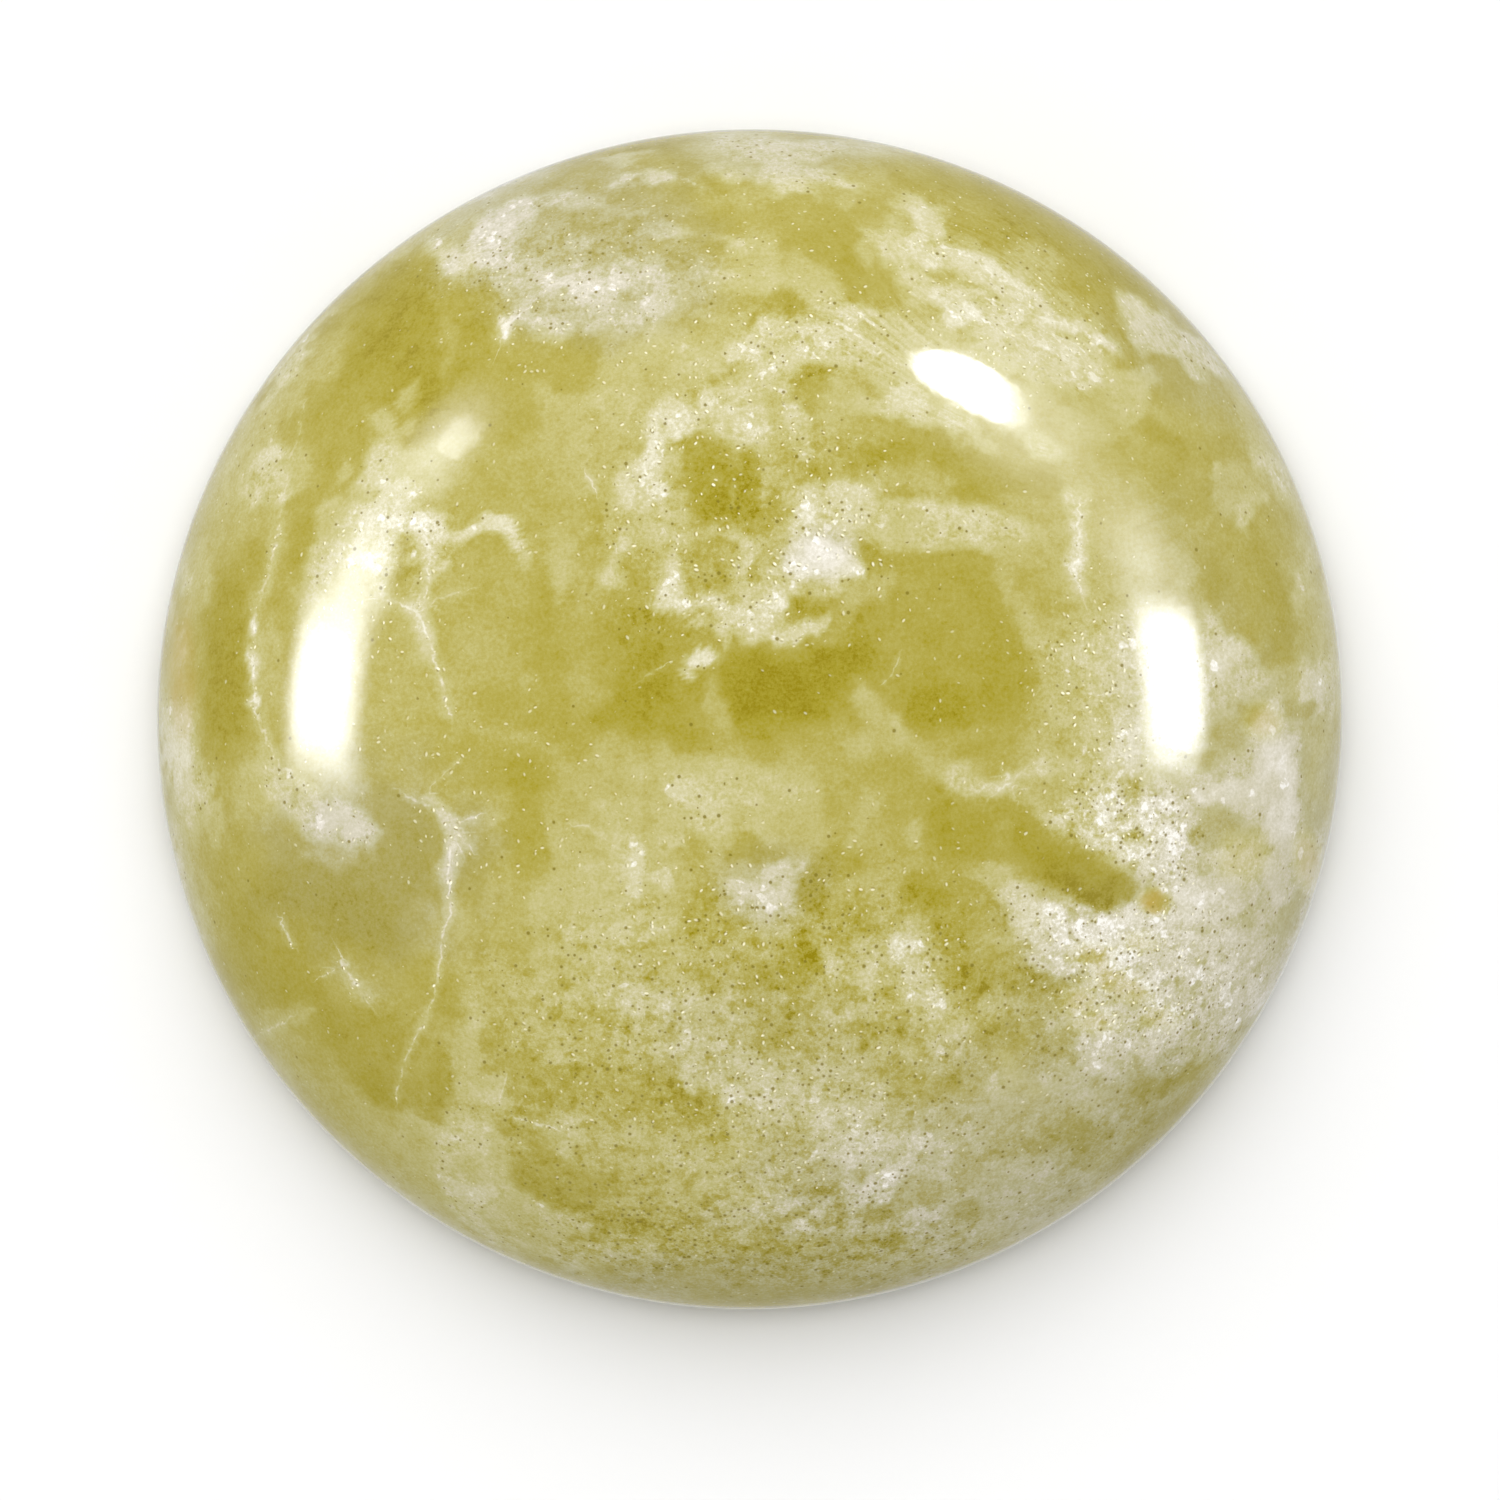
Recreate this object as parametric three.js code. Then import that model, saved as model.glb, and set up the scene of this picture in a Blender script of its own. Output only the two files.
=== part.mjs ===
// A round, high-domed cabochon of green and white marble, cut and polished as one solid stone.
// The flat ground back lies in the XY plane, with the origin at its middle, and the crown points up +Z.
// All sizes are in millimetres.
import * as THREE from "three";

// Driving sizes of the cut.
const DIAMETER = 30; // mean width across the girdle
const HEIGHT = 9.2; // flat back to the top of the crown
const GIRDLE_HEIGHT = 0.6; // upright band round the widest part
const BEVEL = 0.5; // width and height of the bevel between the back and the girdle
const BEVEL_EASE = 0.12; // how far each edge of the bevel is rounded off, measured from its corner

// The crown's profile is height * (1 - (r / radius) ^ CROWN_POWER) ^ 0.5.
// A power of 2 gives a half ellipse, and a higher one a flatter top with steeper shoulders.
const CROWN_POWER = 2.3;

// A hand-cut outline isn't a perfect circle. Each wave adds size * cos(count * (angle - peak)) to the radius.
const OUTLINE_WAVES = [
  { count: 2, size: 0.05, peakDegrees: 23 }, // slightly oval
  { count: 3, size: 0.02, peakDegrees: 33 }, // slightly three-sided
];

// How finely the curved faces are divided.
const STEPS_AROUND = 96;
const STEPS_UP_CROWN = 30;
const STEPS_PER_EASE = 3;

const RADIUS = DIAMETER / 2;
const CROWN_HEIGHT = HEIGHT - BEVEL - GIRDLE_HEIGHT;
const CROWN_FOOT = BEVEL + GIRDLE_HEIGHT;

// Points from start to end that round off the corner between two straight edges,
// as a curve that leaves and arrives along them.
function easedCorner(start, corner, end) {
  return new THREE.QuadraticBezierCurve(start, corner, end).getPoints(STEPS_PER_EASE);
}

// The bevel runs at 45 degrees from the back up to the girdle.
function bevelPoints() {
  const alongBevel = BEVEL_EASE * Math.SQRT1_2;
  const backCorner = new THREE.Vector2(RADIUS - BEVEL, 0);
  const girdleCorner = new THREE.Vector2(RADIUS, BEVEL);
  return [
    ...easedCorner(
      new THREE.Vector2(backCorner.x - BEVEL_EASE, 0),
      backCorner,
      new THREE.Vector2(backCorner.x + alongBevel, alongBevel),
    ),
    ...easedCorner(
      new THREE.Vector2(girdleCorner.x - alongBevel, girdleCorner.y - alongBevel),
      girdleCorner,
      new THREE.Vector2(RADIUS, BEVEL + BEVEL_EASE),
    ),
  ];
}

// The crown rises upright from the girdle and closes flat at the top.
// The angle turns from 0 at the girdle to a quarter turn at the top.
function crownPoints() {
  const points = [];
  for (let step = 0; step <= STEPS_UP_CROWN; step++) {
    const angle = (step / STEPS_UP_CROWN) * (Math.PI / 2);
    const across = step < STEPS_UP_CROWN ? RADIUS * Math.cos(angle) ** (2 / CROWN_POWER) : 0;
    points.push(new THREE.Vector2(across, CROWN_FOOT + CROWN_HEIGHT * Math.sin(angle)));
  }
  return points;
}

// The half section of the stone, from the middle of the back round to the top of the crown.
function halfSection() {
  return [new THREE.Vector2(0, 0), ...bevelPoints(), ...crownPoints()];
}

// How much further out than the mean circle the girdle stands at an angle round the stone.
function outlineWave(angle) {
  return OUTLINE_WAVES.reduce(
    (sum, wave) =>
      sum + wave.size * Math.cos(wave.count * (angle - THREE.MathUtils.degToRad(wave.peakDegrees))),
    0,
  );
}

// Spreads the outline's waves over the whole stone in proportion to the distance from the middle.
function cutByHand(geometry) {
  const position = geometry.getAttribute("position");
  for (let i = 0; i < position.count; i++) {
    const angle = Math.atan2(position.getY(i), position.getX(i));
    const stretch = 1 + outlineWave(angle) / RADIUS;
    position.setXY(i, position.getX(i) * stretch, position.getY(i) * stretch);
  }
  geometry.computeVertexNormals();
  return geometry;
}

function stoneGeometry() {
  const turned = new THREE.LatheGeometry(halfSection(), STEPS_AROUND);
  turned.rotateX(Math.PI / 2); // a lathe turns about Y, and the stone stands on Z
  return cutByHand(turned);
}

const polishedMarble = new THREE.MeshStandardMaterial({
  name: "polished_marble",
  color: "#bdb474",
  roughness: 0.1,
  metalness: 0,
});

const cabochon = new THREE.Mesh(stoneGeometry(), polishedMarble);
cabochon.name = "cabochon";

const part = new THREE.Group();
part.add(cabochon);

export default part;
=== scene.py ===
"""A round cabochon of green and white marble, polished, lying on its flat back on a pale floor.

The stone's sizes and the places of its markings are in millimetres, as a maker would measure them on the
stone, and its mesh is written in metres. The camera looks straight down, with +X to the right and +Y up.
"""
from itertools import product

import bpy
import numpy as np
from mathutils import Euler, Matrix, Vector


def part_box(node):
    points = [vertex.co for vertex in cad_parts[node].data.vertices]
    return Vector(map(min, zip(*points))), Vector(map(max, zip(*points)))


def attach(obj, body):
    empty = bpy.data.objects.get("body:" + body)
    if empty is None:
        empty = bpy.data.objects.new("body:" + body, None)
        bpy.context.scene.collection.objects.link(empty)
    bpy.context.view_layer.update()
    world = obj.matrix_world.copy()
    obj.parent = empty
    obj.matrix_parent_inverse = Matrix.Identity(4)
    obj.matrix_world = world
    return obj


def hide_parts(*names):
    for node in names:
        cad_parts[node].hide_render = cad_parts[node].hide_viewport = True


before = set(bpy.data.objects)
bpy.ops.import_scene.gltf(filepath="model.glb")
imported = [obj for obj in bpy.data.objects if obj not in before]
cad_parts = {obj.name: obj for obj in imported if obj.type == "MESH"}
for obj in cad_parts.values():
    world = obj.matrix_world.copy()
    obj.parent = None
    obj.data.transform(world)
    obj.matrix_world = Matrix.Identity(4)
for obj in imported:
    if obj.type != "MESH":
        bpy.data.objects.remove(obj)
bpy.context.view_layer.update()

MM = 0.001

# The stone's sizes, from the solid that it stands for.
INSIDE = 0.01  # how far the dressed stone stays inside it
box_low, box_high = (np.array(corner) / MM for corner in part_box("cabochon"))
RADIUS = (box_high - box_low)[:2].mean() / 2 - INSIDE
HEIGHT = box_high[2]
GIRDLE_HEIGHT = 0.6
BEVEL = 0.5
BEVEL_EASE = 0.12  # how far the bevel's two edges are eased
EASE_STEPS = 3
BACK_INSET = 2.5 * BEVEL_EASE  # the flat grid of the back ends this far inside the bevel
CROWN_POWER = 2.3
CROWN_FOOT = BEVEL + GIRDLE_HEIGHT
CROWN_RISE = HEIGHT - CROWN_FOOT
OUTLINE_WAVES = [(2, 0.05, 23), (3, 0.02, 33)]  # count, size, and where the first peak stands in degrees

# Squares across the mesh of the crown and of the back. The crown's are four times finer.
BACK_STEPS = 72
CROWN_STEPS = 4 * BACK_STEPS

# The camera, straight above.
LENS = 200
SENSOR = 36
FRAME_WIDTH = 38.06  # what the picture spans at the girdle
CAMERA_ABOVE_GIRDLE = FRAME_WIDTH * LENS / SENSOR
AIM = (0.0, -0.80)  # the stone lies a little above the middle of the picture

LIGHT_DISTANCE = 400
COOL_WHITE = (0.92, 0.97, 1.12, 1.0)  # the lights that the polish mirrors
NEUTRAL = (1.0, 1.0, 1.0, 1.0)

# Over which shares of a light's face it dims: at the ends of its width, then of its height.
NARROW = ((0.1, 0.1), (0.1, 0.1))
FULL = ((0.5, 0.5), (0.5, 0.5))

# How bright the room is at a height, given as the sine of the angle above the horizon. Below the horizon it
# stands for the floor as the polish mirrors it.
ROOM_BRIGHTNESS = [
    (-1.0, 0.82),
    (-0.8, 0.72),
    (-0.55, 0.60),
    (-0.3, 0.52),
    (0.0, 0.47),
    (0.15, 0.55),
    (0.35, 0.48),
    (0.70, 0.45),
    (0.88, 0.12),
]
FLOOR_IN_SHADOW = 0.45  # how bright the floor is on the shaded side, -Y, as a share of what it is elsewhere

# Broad fields of colour, laid first. x, y, half length, half width, turn in degrees, tone.
FIELDS = [
    # smooth mid green of the left half
    (-8.6, 0.6, 4.4, 2.9, 80, 0.34), (-6.4, 6.2, 2.4, 1.9, 60, 0.3), (-9.2, -3.8, 3.0, 1.6, 10, 0.17),
    (-4.2, -1.3, 1.6, 2.2, 0, 0.36), (-4.5, 7.6, 1.8, 2.2, 0, 0.37),
    # olive of the upper left shoulder
    (-8.8, 9.0, 3.6, 1.9, 50, 0.05), (-10.8, 7.3, 1.8, 1.3, 60, 0.22), (-5.6, 9.2, 1.6, 0.8, 0, 0.22),
    (-9.8, 10.4, 2.8, 0.9, 46, 0.05),
    # olive column down the left rim
    (-13.3, 1.4, 3.0, 0.75, 92, 0.08), (-12.1, 1.9, 3.0, 0.5, 85, 0.2),
    # left rim, above and below the column
    (-12.8, 6.0, 1.8, 0.9, 65, 0.36), (-13.0, -3.4, 1.8, 1.3, 110, 0.24),
    (-12.2, -1.8, 1.0, 0.7, 120, 0.42), (-12.6, 7.3, 2.4, 0.45, 60, 0.46),
    (-7.3, 12.6, 2.0, 0.4, 30, 0.48),
    # olive of the lower left shoulder
    (-11.9, -6.2, 2.1, 1.6, 120, 0.19), (-9.7, -8.3, 2.6, 1.4, 130, 0.12),
    (-10.2, -10.0, 3.8, 0.8, 134, 0.38), (-6.5, -6.4, 1.9, 1.9, 0, 0.33),
    # the top
    (-2.0, 13.1, 4.0, 1.1, 3, 0.3), (-3.8, 11.6, 3.6, 1.3, 4, 0.5), (-1.6, 9.3, 2.6, 1.3, 0, 0.42),
    (2.4, 11.9, 1.9, 1.2, -30, 0.24), (3.0, 9.3, 2.4, 1.5, -10, 0.54),
    # upper right rim
    (7.3, 12.3, 4.4, 1.3, -40, 0.12), (6.5, 10.4, 2.8, 1.35, -35, 0.62), (9.8, 8.2, 2.6, 1.2, -35, 0.32),
    (12.1, 6.4, 2.6, 1.4, -62, 0.32), (4.6, 6.6, 3.0, 1.1, -5, 0.3), (8.4, 4.4, 2.6, 1.6, 0, 0.38),
    (12.9, 3.4, 2.2, 1.1, -80, 0.25), (7.4, 9.3, 2.2, 0.9, -25, 0.62),
    # right half
    (5.2, 1.8, 2.3, 2.7, 0, 0.2), (8.8, 0.7, 1.6, 2.6, 0, 0.55), (3.4, -1.0, 2.2, 1.1, 0, 0.42),
    (12.6, -1.4, 1.9, 2.2, 0, 0.66), (14.3, -1.6, 1.8, 0.45, 85, 0.5), (9.0, -2.4, 1.9, 1.3, -20, 0.72),
    (5.4, -3.2, 1.8, 1.2, -20, 0.24), (-4.1, 1.8, 0.7, 1.4, 0, 0.46), (-4.0, 7.4, 1.1, 1.3, 0, 0.45),
    (-4.2, 4.2, 0.7, 0.9, 0, 0.36),
    # middle
    (-0.3, 4.6, 3.2, 2.6, 0, 0.46), (-2.2, 1.4, 2.4, 1.3, -10, 0.18), (0.9, 0.6, 2.1, 1.1, 0, 0.04),
    (-0.4, -2.2, 3.6, 1.5, 0, 0.46), (-1.4, -4.4, 3.2, 1.5, 0, 0.46), (-1.4, -6.8, 4.0, 1.8, 0, 0.46),
    (3.2, -7.0, 2.8, 2.2, 0, 0.42),
    # lower right cloud and below it
    (10.3, -6.4, 3.4, 2.4, -20, 0.86), (6.3, -6.9, 1.9, 1.5, 0, 0.3), (6.5, -9.6, 2.6, 1.6, 0, 0.4),
    (9.2, -10.0, 2.2, 0.9, 38, 0.38),
    # bottom
    (1.8, -10.8, 3.6, 1.9, -12, 0.64), (-1.6, -11.0, 2.6, 1.6, 0, 0.38),
    # The darker band along the bottom rim, (0.0, -14.1), is partly painted shade.
    (-6.4, -11.2, 2.6, 1.8, -30, 0.46), (0.0, -14.1, 6.0, 0.7, 0, 0.34), (6.2, -12.4, 2.6, 1.0, 28, 0.48),
    (10.4, -10.4, 1.8, 0.4, 45, 0.24),
]

# Patches with ragged edges, laid over the fields. A few pale ones beside the highlights are partly painted
# glow, as marked below.
PATCHES = [
    # upper left cloud
    (-7.6, 11.7, 0.55, 0.35, -15, 0.74), (-6.4, 12.3, 0.45, 0.4, 0, 0.74),
    (-6.1, 12.9, 0.7, 0.2, 20, 0.66), (-5.8, 11.2, 1.2, 0.7, 0, 0.58), (-5.2, 10.3, 0.5, 0.36, 0, 0.54),
    (-4.6, 11.3, 0.9, 0.5, 0, 0.66), (-3.4, 11.1, 1.3, 0.5, 5, 0.66), (-3.9, 10.7, 0.7, 0.5, 0, 0.72),
    (-2.5, 10.5, 0.7, 0.4, 10, 0.68), (-3.8, 12.2, 0.7, 0.22, 0, 0.5), (-2.4, 12.7, 0.8, 0.2, -15, 0.6),
    (-0.6, 11.3, 0.7, 0.22, -10, 0.56), (-0.5, 12.1, 0.35, 0.2, 0, 0.58), (-4.7, 13.1, 0.8, 0.25, 5, 0.6),
    (-3.4, 13.7, 0.6, 0.14, 8, 0.66), (-2.3, 13.75, 0.45, 0.14, 5, 0.7), (-7.2, 10.7, 0.7, 0.4, -10, 0.2),
    (-4.6, 12.55, 0.6, 0.22, 0, 0.3), (-4.3, 13.6, 0.8, 0.14, 8, 0.3), (-2.2, 12.0, 1.4, 0.14, -8, 0.36),
    # top rim
    (0.9, 14.4, 2.0, 0.32, -2, 0.64), (0.9, 13.75, 0.9, 0.42, -10, 0.72),
    (-3.2, 14.15, 0.8, 0.2, 12, 0.54), (2.8, 13.6, 1.2, 0.35, -15, 0.38), (-0.5, 13.9, 0.6, 0.3, 0, 0.6),
    (-1.3, 13.3, 1.6, 0.28, 0, 0.32), (-1.5, 12.6, 1.5, 0.24, -5, 0.33), (0.0, 13.2, 0.8, 0.3, 0, 0.34),
    # gold olive below the top
    (2.1, 12.3, 1.0, 0.55, -10, 0.2), (2.5, 11.1, 0.6, 0.65, 0, 0.17), (3.5, 11.3, 0.7, 0.65, 0, 0.25),
    (1.0, 12.7, 0.9, 0.25, 0, 0.27), (0.95, 10.5, 0.5, 0.36, 10, 0.14), (0.2, 10.5, 0.5, 0.25, 0, 0.24),
    (-0.7, 10.3, 0.5, 0.22, 0, 0.3), (0.15, 9.9, 0.22, 0.18, 0, 0.2), (-1.5, 9.9, 0.45, 0.2, 0, 0.28),
    (1.4, 11.4, 0.6, 0.4, 0, 0.45),
    # speckled bands below the top
    (2.6, 10.3, 0.55, 0.28, -10, 0.7), (1.9, 9.5, 1.3, 0.32, -5, 0.66), (0.5, 9.6, 0.5, 0.22, 0, 0.64),
    (0.4, 10.15, 0.5, 0.16, 0, 0.36), (0.3, 8.8, 0.45, 0.3, 0, 0.74), (1.0, 9.1, 0.6, 0.2, 0, 0.6),
    (-1.3, 8.9, 0.8, 0.3, 0, 0.56), (-0.8, 8.6, 0.3, 0.25, 0, 0.34), (-1.6, 9.4, 0.3, 0.15, 0, 0.5),
    (1.6, 8.6, 0.55, 0.42, 20, 0.13), (1.4, 8.0, 0.45, 0.35, 0, 0.24), (2.6, 8.4, 0.95, 0.35, -8, 0.22),
    # The pale patch at (4.5, 7.65) is partly painted glow along the lower edge of the back right highlight.
    (3.5, 7.6, 0.6, 0.24, -20, 0.26), (4.5, 7.65, 0.8, 0.3, -20, 0.62), (1.75, 7.75, 0.32, 0.2, 0, 0.3),
    (2.7, 7.9, 0.7, 0.18, 0, 0.52), (2.0, 7.3, 0.4, 0.3, 0, 0.42),
    # white ring on the crown
    (-2.1, 7.4, 0.8, 0.5, 20, 0.8), (-1.0, 8.0, 0.22, 0.42, 0, 0.78), (-2.5, 6.5, 0.3, 0.7, 0, 0.82),
    (-2.7, 5.9, 0.6, 0.6, 0, 0.76), (-2.2, 5.3, 0.5, 0.35, 0, 0.5), (-0.2, 7.5, 0.75, 0.45, 0, 0.7),
    (1.2, 7.2, 0.28, 0.55, 10, 0.6), (1.0, 7.7, 0.3, 0.3, 0, 0.62), (-1.8, 4.1, 0.14, 0.6, 0, 0.72),
    (-2.4, 4.6, 0.6, 0.25, -20, 0.58), (-0.5, 4.6, 0.7, 0.3, 0, 0.56), (-0.1, 4.0, 0.25, 0.6, 0, 0.66),
    (-2.0, 3.3, 0.42, 0.42, 0, 0.86), (-1.65, 2.95, 0.35, 0.3, -30, 0.8), (-2.5, 3.0, 0.3, 0.2, 0, 0.68),
    (-3.45, 3.5, 0.32, 0.32, 0, 0.7), (-3.3, 4.2, 0.3, 0.4, 0, 0.58), (-1.0, 2.75, 0.75, 0.24, -8, 0.7),
    (-0.4, 2.4, 0.6, 0.28, 0, 0.66), (0.35, 2.75, 0.66, 0.52, 0, 0.72), (0.8, 2.95, 0.35, 0.25, 0, 0.84),
    (0.2, 2.1, 0.5, 0.25, 0, 0.7), (1.2, 2.05, 0.6, 0.18, 10, 0.72), (1.75, 2.35, 0.26, 0.26, 0, 0.7),
    (0.9, 3.6, 0.7, 0.3, 20, 0.62), (1.8, 4.1, 0.85, 0.5, 0, 0.94), (2.2, 3.8, 0.5, 0.4, 0, 0.88),
    (1.2, 4.4, 0.3, 0.3, 0, 0.8), (2.0, 3.3, 0.6, 0.25, 0, 0.6), (1.6, 5.6, 0.45, 0.35, 0, 0.74),
    (2.4, 5.3, 0.9, 0.35, 0, 0.6), (3.9, 5.2, 1.4, 0.35, 5, 0.58), (3.3, 6.0, 0.8, 0.3, 10, 0.38),
    # olive heart inside the ring
    (-1.2, 5.95, 0.75, 1.05, 10, 0.1), (-0.2, 6.0, 0.45, 0.75, 0, 0.04),
    (-1.3, 6.95, 0.45, 0.22, 0, 0.24), (0.6, 5.6, 0.22, 0.5, 0, 0.18), (-0.4, 5.35, 0.9, 0.35, 0, 0.08),
    (0.45, 6.2, 0.2, 0.5, 0, 0.4), (0.8, 6.4, 0.14, 0.4, 0, 0.46), (-0.55, 5.6, 0.09, 0.35, 10, 0.28),
    (1.5, 6.2, 0.8, 0.4, 0, 0.28), (-1.0, 3.85, 0.72, 0.55, 0, 0.28), (-2.8, 3.75, 0.45, 0.5, 0, 0.33),
    (0.0, 4.9, 0.6, 0.32, 0, 0.22), (1.4, 2.85, 0.33, 0.42, 20, 0.26), (2.3, 2.7, 0.35, 0.5, 0, 0.34),
    # olive band on the right of the crown
    (3.5, 6.7, 1.0, 0.33, 8, 0.14), (4.8, 7.1, 0.9, 0.35, -10, 0.22), (2.5, 7.0, 0.5, 0.25, 0, 0.3),
    (5.3, 6.6, 0.85, 0.5, -10, 0.2), (5.9, 5.85, 0.9, 0.32, 0, 0.18), (6.9, 6.2, 0.5, 0.3, 0, 0.28),
    # upper right sparkling cloud
    (4.5, 12.6, 0.5, 0.35, -45, 0.82), (4.2, 12.0, 0.6, 0.35, -30, 0.72),
    (4.2, 13.1, 0.4, 0.32, -30, 0.58), (4.7, 11.6, 0.3, 0.25, -30, 0.76),
    (5.4, 11.75, 0.65, 0.22, -25, 0.76), (6.3, 11.4, 0.75, 0.24, -25, 0.76),
    (4.8, 10.75, 0.45, 0.25, -15, 0.76), (5.3, 10.3, 0.42, 0.2, -15, 0.8),
    (5.9, 10.75, 0.55, 0.35, -30, 0.62), (7.6, 10.3, 0.6, 0.18, -38, 0.88),
    (8.3, 10.05, 0.45, 0.12, -30, 0.88), (8.2, 9.3, 0.3, 0.34, -20, 0.84),
    (7.4, 9.35, 0.6, 0.42, -30, 0.76), (8.9, 9.55, 0.35, 0.12, -35, 0.8),
    (6.6, 9.9, 0.7, 0.35, -30, 0.68), (5.2, 9.8, 0.45, 0.25, -10, 0.46), (4.4, 10.4, 0.4, 0.3, 0, 0.34),
    (7.2, 10.7, 0.7, 0.14, -40, 0.66), (5.0, 11.2, 0.4, 0.2, 0, 0.36),
    # olive along the upper right rim
    (5.8, 12.4, 0.9, 0.32, -25, 0.2), (8.3, 11.3, 1.3, 0.45, -45, 0.2), (9.0, 10.5, 0.6, 0.3, -45, 0.2),
    (9.4, 9.7, 0.55, 0.22, -50, 0.25), (9.9, 9.1, 0.85, 0.24, -8, 0.22), (8.4, 8.1, 0.9, 0.4, 0, 0.36),
    (10.4, 8.5, 0.9, 0.4, -10, 0.28), (7.4, 8.8, 0.5, 0.3, -20, 0.62),
    # white near the upper right rim
    (10.1, 9.9, 0.8, 0.55, -35, 0.74), (11.1, 9.4, 0.8, 0.3, -35, 0.68),
    (11.8, 9.0, 0.6, 0.22, -48, 0.64), (9.4, 8.5, 0.4, 0.28, 0, 0.56), (9.6, 7.8, 0.32, 0.3, 0, 0.5),
    # The pale patch at (7.4, 6.9) is partly painted glow, the tail of the back right highlight.
    (7.4, 6.9, 0.6, 0.32, -20, 0.62), (6.6, 7.6, 0.7, 0.5, -20, 0.5), (10.3, 7.2, 0.5, 0.32, -35, 0.16),
    (10.9, 6.8, 0.42, 0.24, -35, 0.17), (11.9, 6.7, 0.5, 0.5, 0, 0.24), (11.9, 6.2, 0.16, 0.3, 0, 0.55),
    (13.2, 6.4, 1.1, 0.32, -62, 0.6), (12.6, 7.6, 0.8, 0.3, -58, 0.46), (10.6, 6.3, 0.6, 0.5, -35, 0.22),
    (12.6, 5.3, 0.7, 0.32, 70, 0.6), (11.3, 5.5, 0.55, 0.55, 0, 0.23), (8.2, 5.5, 0.35, 0.7, 0, 0.62),
    # right side
    (7.1, 2.3, 0.3, 0.8, 10, 0.48), (8.6, 1.2, 0.8, 0.9, 0, 0.48), (6.3, 1.0, 0.85, 1.05, 0, 0.15),
    (5.9, 3.0, 0.6, 0.9, 0, 0.21), (6.1, 4.9, 1.6, 0.28, -8, 0.52), (7.0, 4.3, 0.6, 0.3, -30, 0.42),
    (7.9, 2.8, 0.5, 0.4, 0, 0.3), (11.9, 4.1, 0.7, 0.8, 0, 0.27), (13.2, 3.6, 1.3, 0.35, -78, 0.19),
    (13.6, 2.0, 0.5, 0.3, -80, 0.22), (12.25, 1.4, 0.44, 0.6, 20, 0.8), (12.3, 0.6, 0.2, 0.5, 0, 0.6),
    (12.7, 0.1, 0.4, 0.3, 0, 0.3), (12.2, -0.5, 0.4, 0.4, 0, 0.32), (11.7, -1.1, 0.35, 0.3, 30, 0.26),
    (14.2, 0.8, 0.36, 0.75, 0, 0.78), (14.7, 0.6, 0.12, 0.8, 5, 0.62), (13.3, 1.1, 0.4, 0.25, 0, 0.5),
    (13.9, 0.2, 0.3, 0.22, 0, 0.36), (13.4, -1.1, 0.58, 1.15, 5, 0.88), (12.6, -1.6, 0.6, 0.6, 0, 0.82),
    (13.4, -0.2, 0.28, 0.45, 0, 0.66), (13.5, -2.8, 0.36, 0.9, 5, 0.84),
    (13.3, -4.4, 0.35, 0.7, 10, 0.56), (12.1, -1.9, 0.8, 0.4, 10, 0.55),
    (11.4, -2.1, 0.35, 0.16, -20, 0.86), (14.4, -1.6, 0.22, 1.0, -5, 0.46),
    (14.1, -3.0, 0.3, 0.5, 0, 0.52), (11.8, -2.9, 0.65, 0.6, 10, 0.36), (12.7, -3.2, 0.35, 0.35, 0, 0.46),
    (11.7, -3.6, 0.6, 0.2, 0, 0.62), (9.0, -2.4, 0.55, 0.45, -30, 0.78),
    (9.4, -3.5, 0.65, 0.3, -30, 0.66), (10.6, -3.1, 0.65, 0.38, -20, 0.88),
    (10.3, -2.2, 0.5, 0.25, 0, 0.7), (9.8, -3.05, 0.16, 0.3, 0, 0.42), (9.6, -1.65, 0.34, 0.3, 0, 0.24),
    (10.4, -1.5, 0.4, 0.2, 0, 0.45), (9.5, -0.4, 0.45, 0.7, 0, 0.8), (9.2, -1.3, 0.5, 0.4, 0, 0.6),
    (8.3, -1.7, 0.6, 0.5, 0, 0.5), (8.0, -0.7, 0.6, 0.3, 0, 0.38), (7.3, -1.5, 0.32, 0.32, 0, 0.62),
    (6.4, -1.7, 0.42, 0.22, 0, 0.58), (5.4, -1.45, 0.5, 0.26, -10, 0.58), (6.0, -0.5, 0.8, 0.4, 0, 0.28),
    (6.2, -1.1, 0.6, 0.25, -20, 0.34), (7.8, -2.3, 0.5, 0.14, -30, 0.5), (7.4, -2.0, 0.8, 0.16, -35, 0.4),
    # dark olive tail on the right, with a hard lower edge
    (5.4, -2.9, 1.0, 0.55, -10, 0.15), (7.2, -3.1, 1.1, 0.5, -25, 0.16),
    (8.3, -4.0, 1.35, 0.54, -20, 0.08), (9.2, -4.4, 0.6, 0.25, -15, 0.09),
    (6.1, -3.9, 0.55, 0.24, -20, 0.46), (4.1, -2.9, 0.16, 0.65, 25, 0.5),
    # lower right cloud
    (7.9, -5.08, 1.4, 0.24, -12, 0.9), (6.7, -4.6, 0.6, 0.34, -15, 0.72),
    (8.1, -5.4, 1.2, 0.38, -5, 0.86), (9.5, -5.4, 0.7, 0.45, 0, 0.82), (8.9, -6.2, 0.7, 0.5, 0, 0.8),
    (9.3, -7.0, 0.5, 0.4, 0, 0.64), (10.7, -5.4, 0.9, 0.55, 0, 0.8), (11.8, -4.4, 0.95, 0.45, -20, 0.72),
    (11.5, -6.0, 0.6, 0.5, 0, 0.66), (12.3, -6.4, 0.48, 0.6, 15, 0.76),
    (10.6, -7.05, 0.52, 0.38, 0, 0.86), (10.2, -6.2, 0.4, 0.3, 0, 0.74),
    (10.4, -8.3, 0.62, 0.3, 10, 0.76), (9.3, -8.3, 0.5, 0.3, 0, 0.7), (8.5, -8.2, 0.4, 0.42, 0, 0.7),
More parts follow.
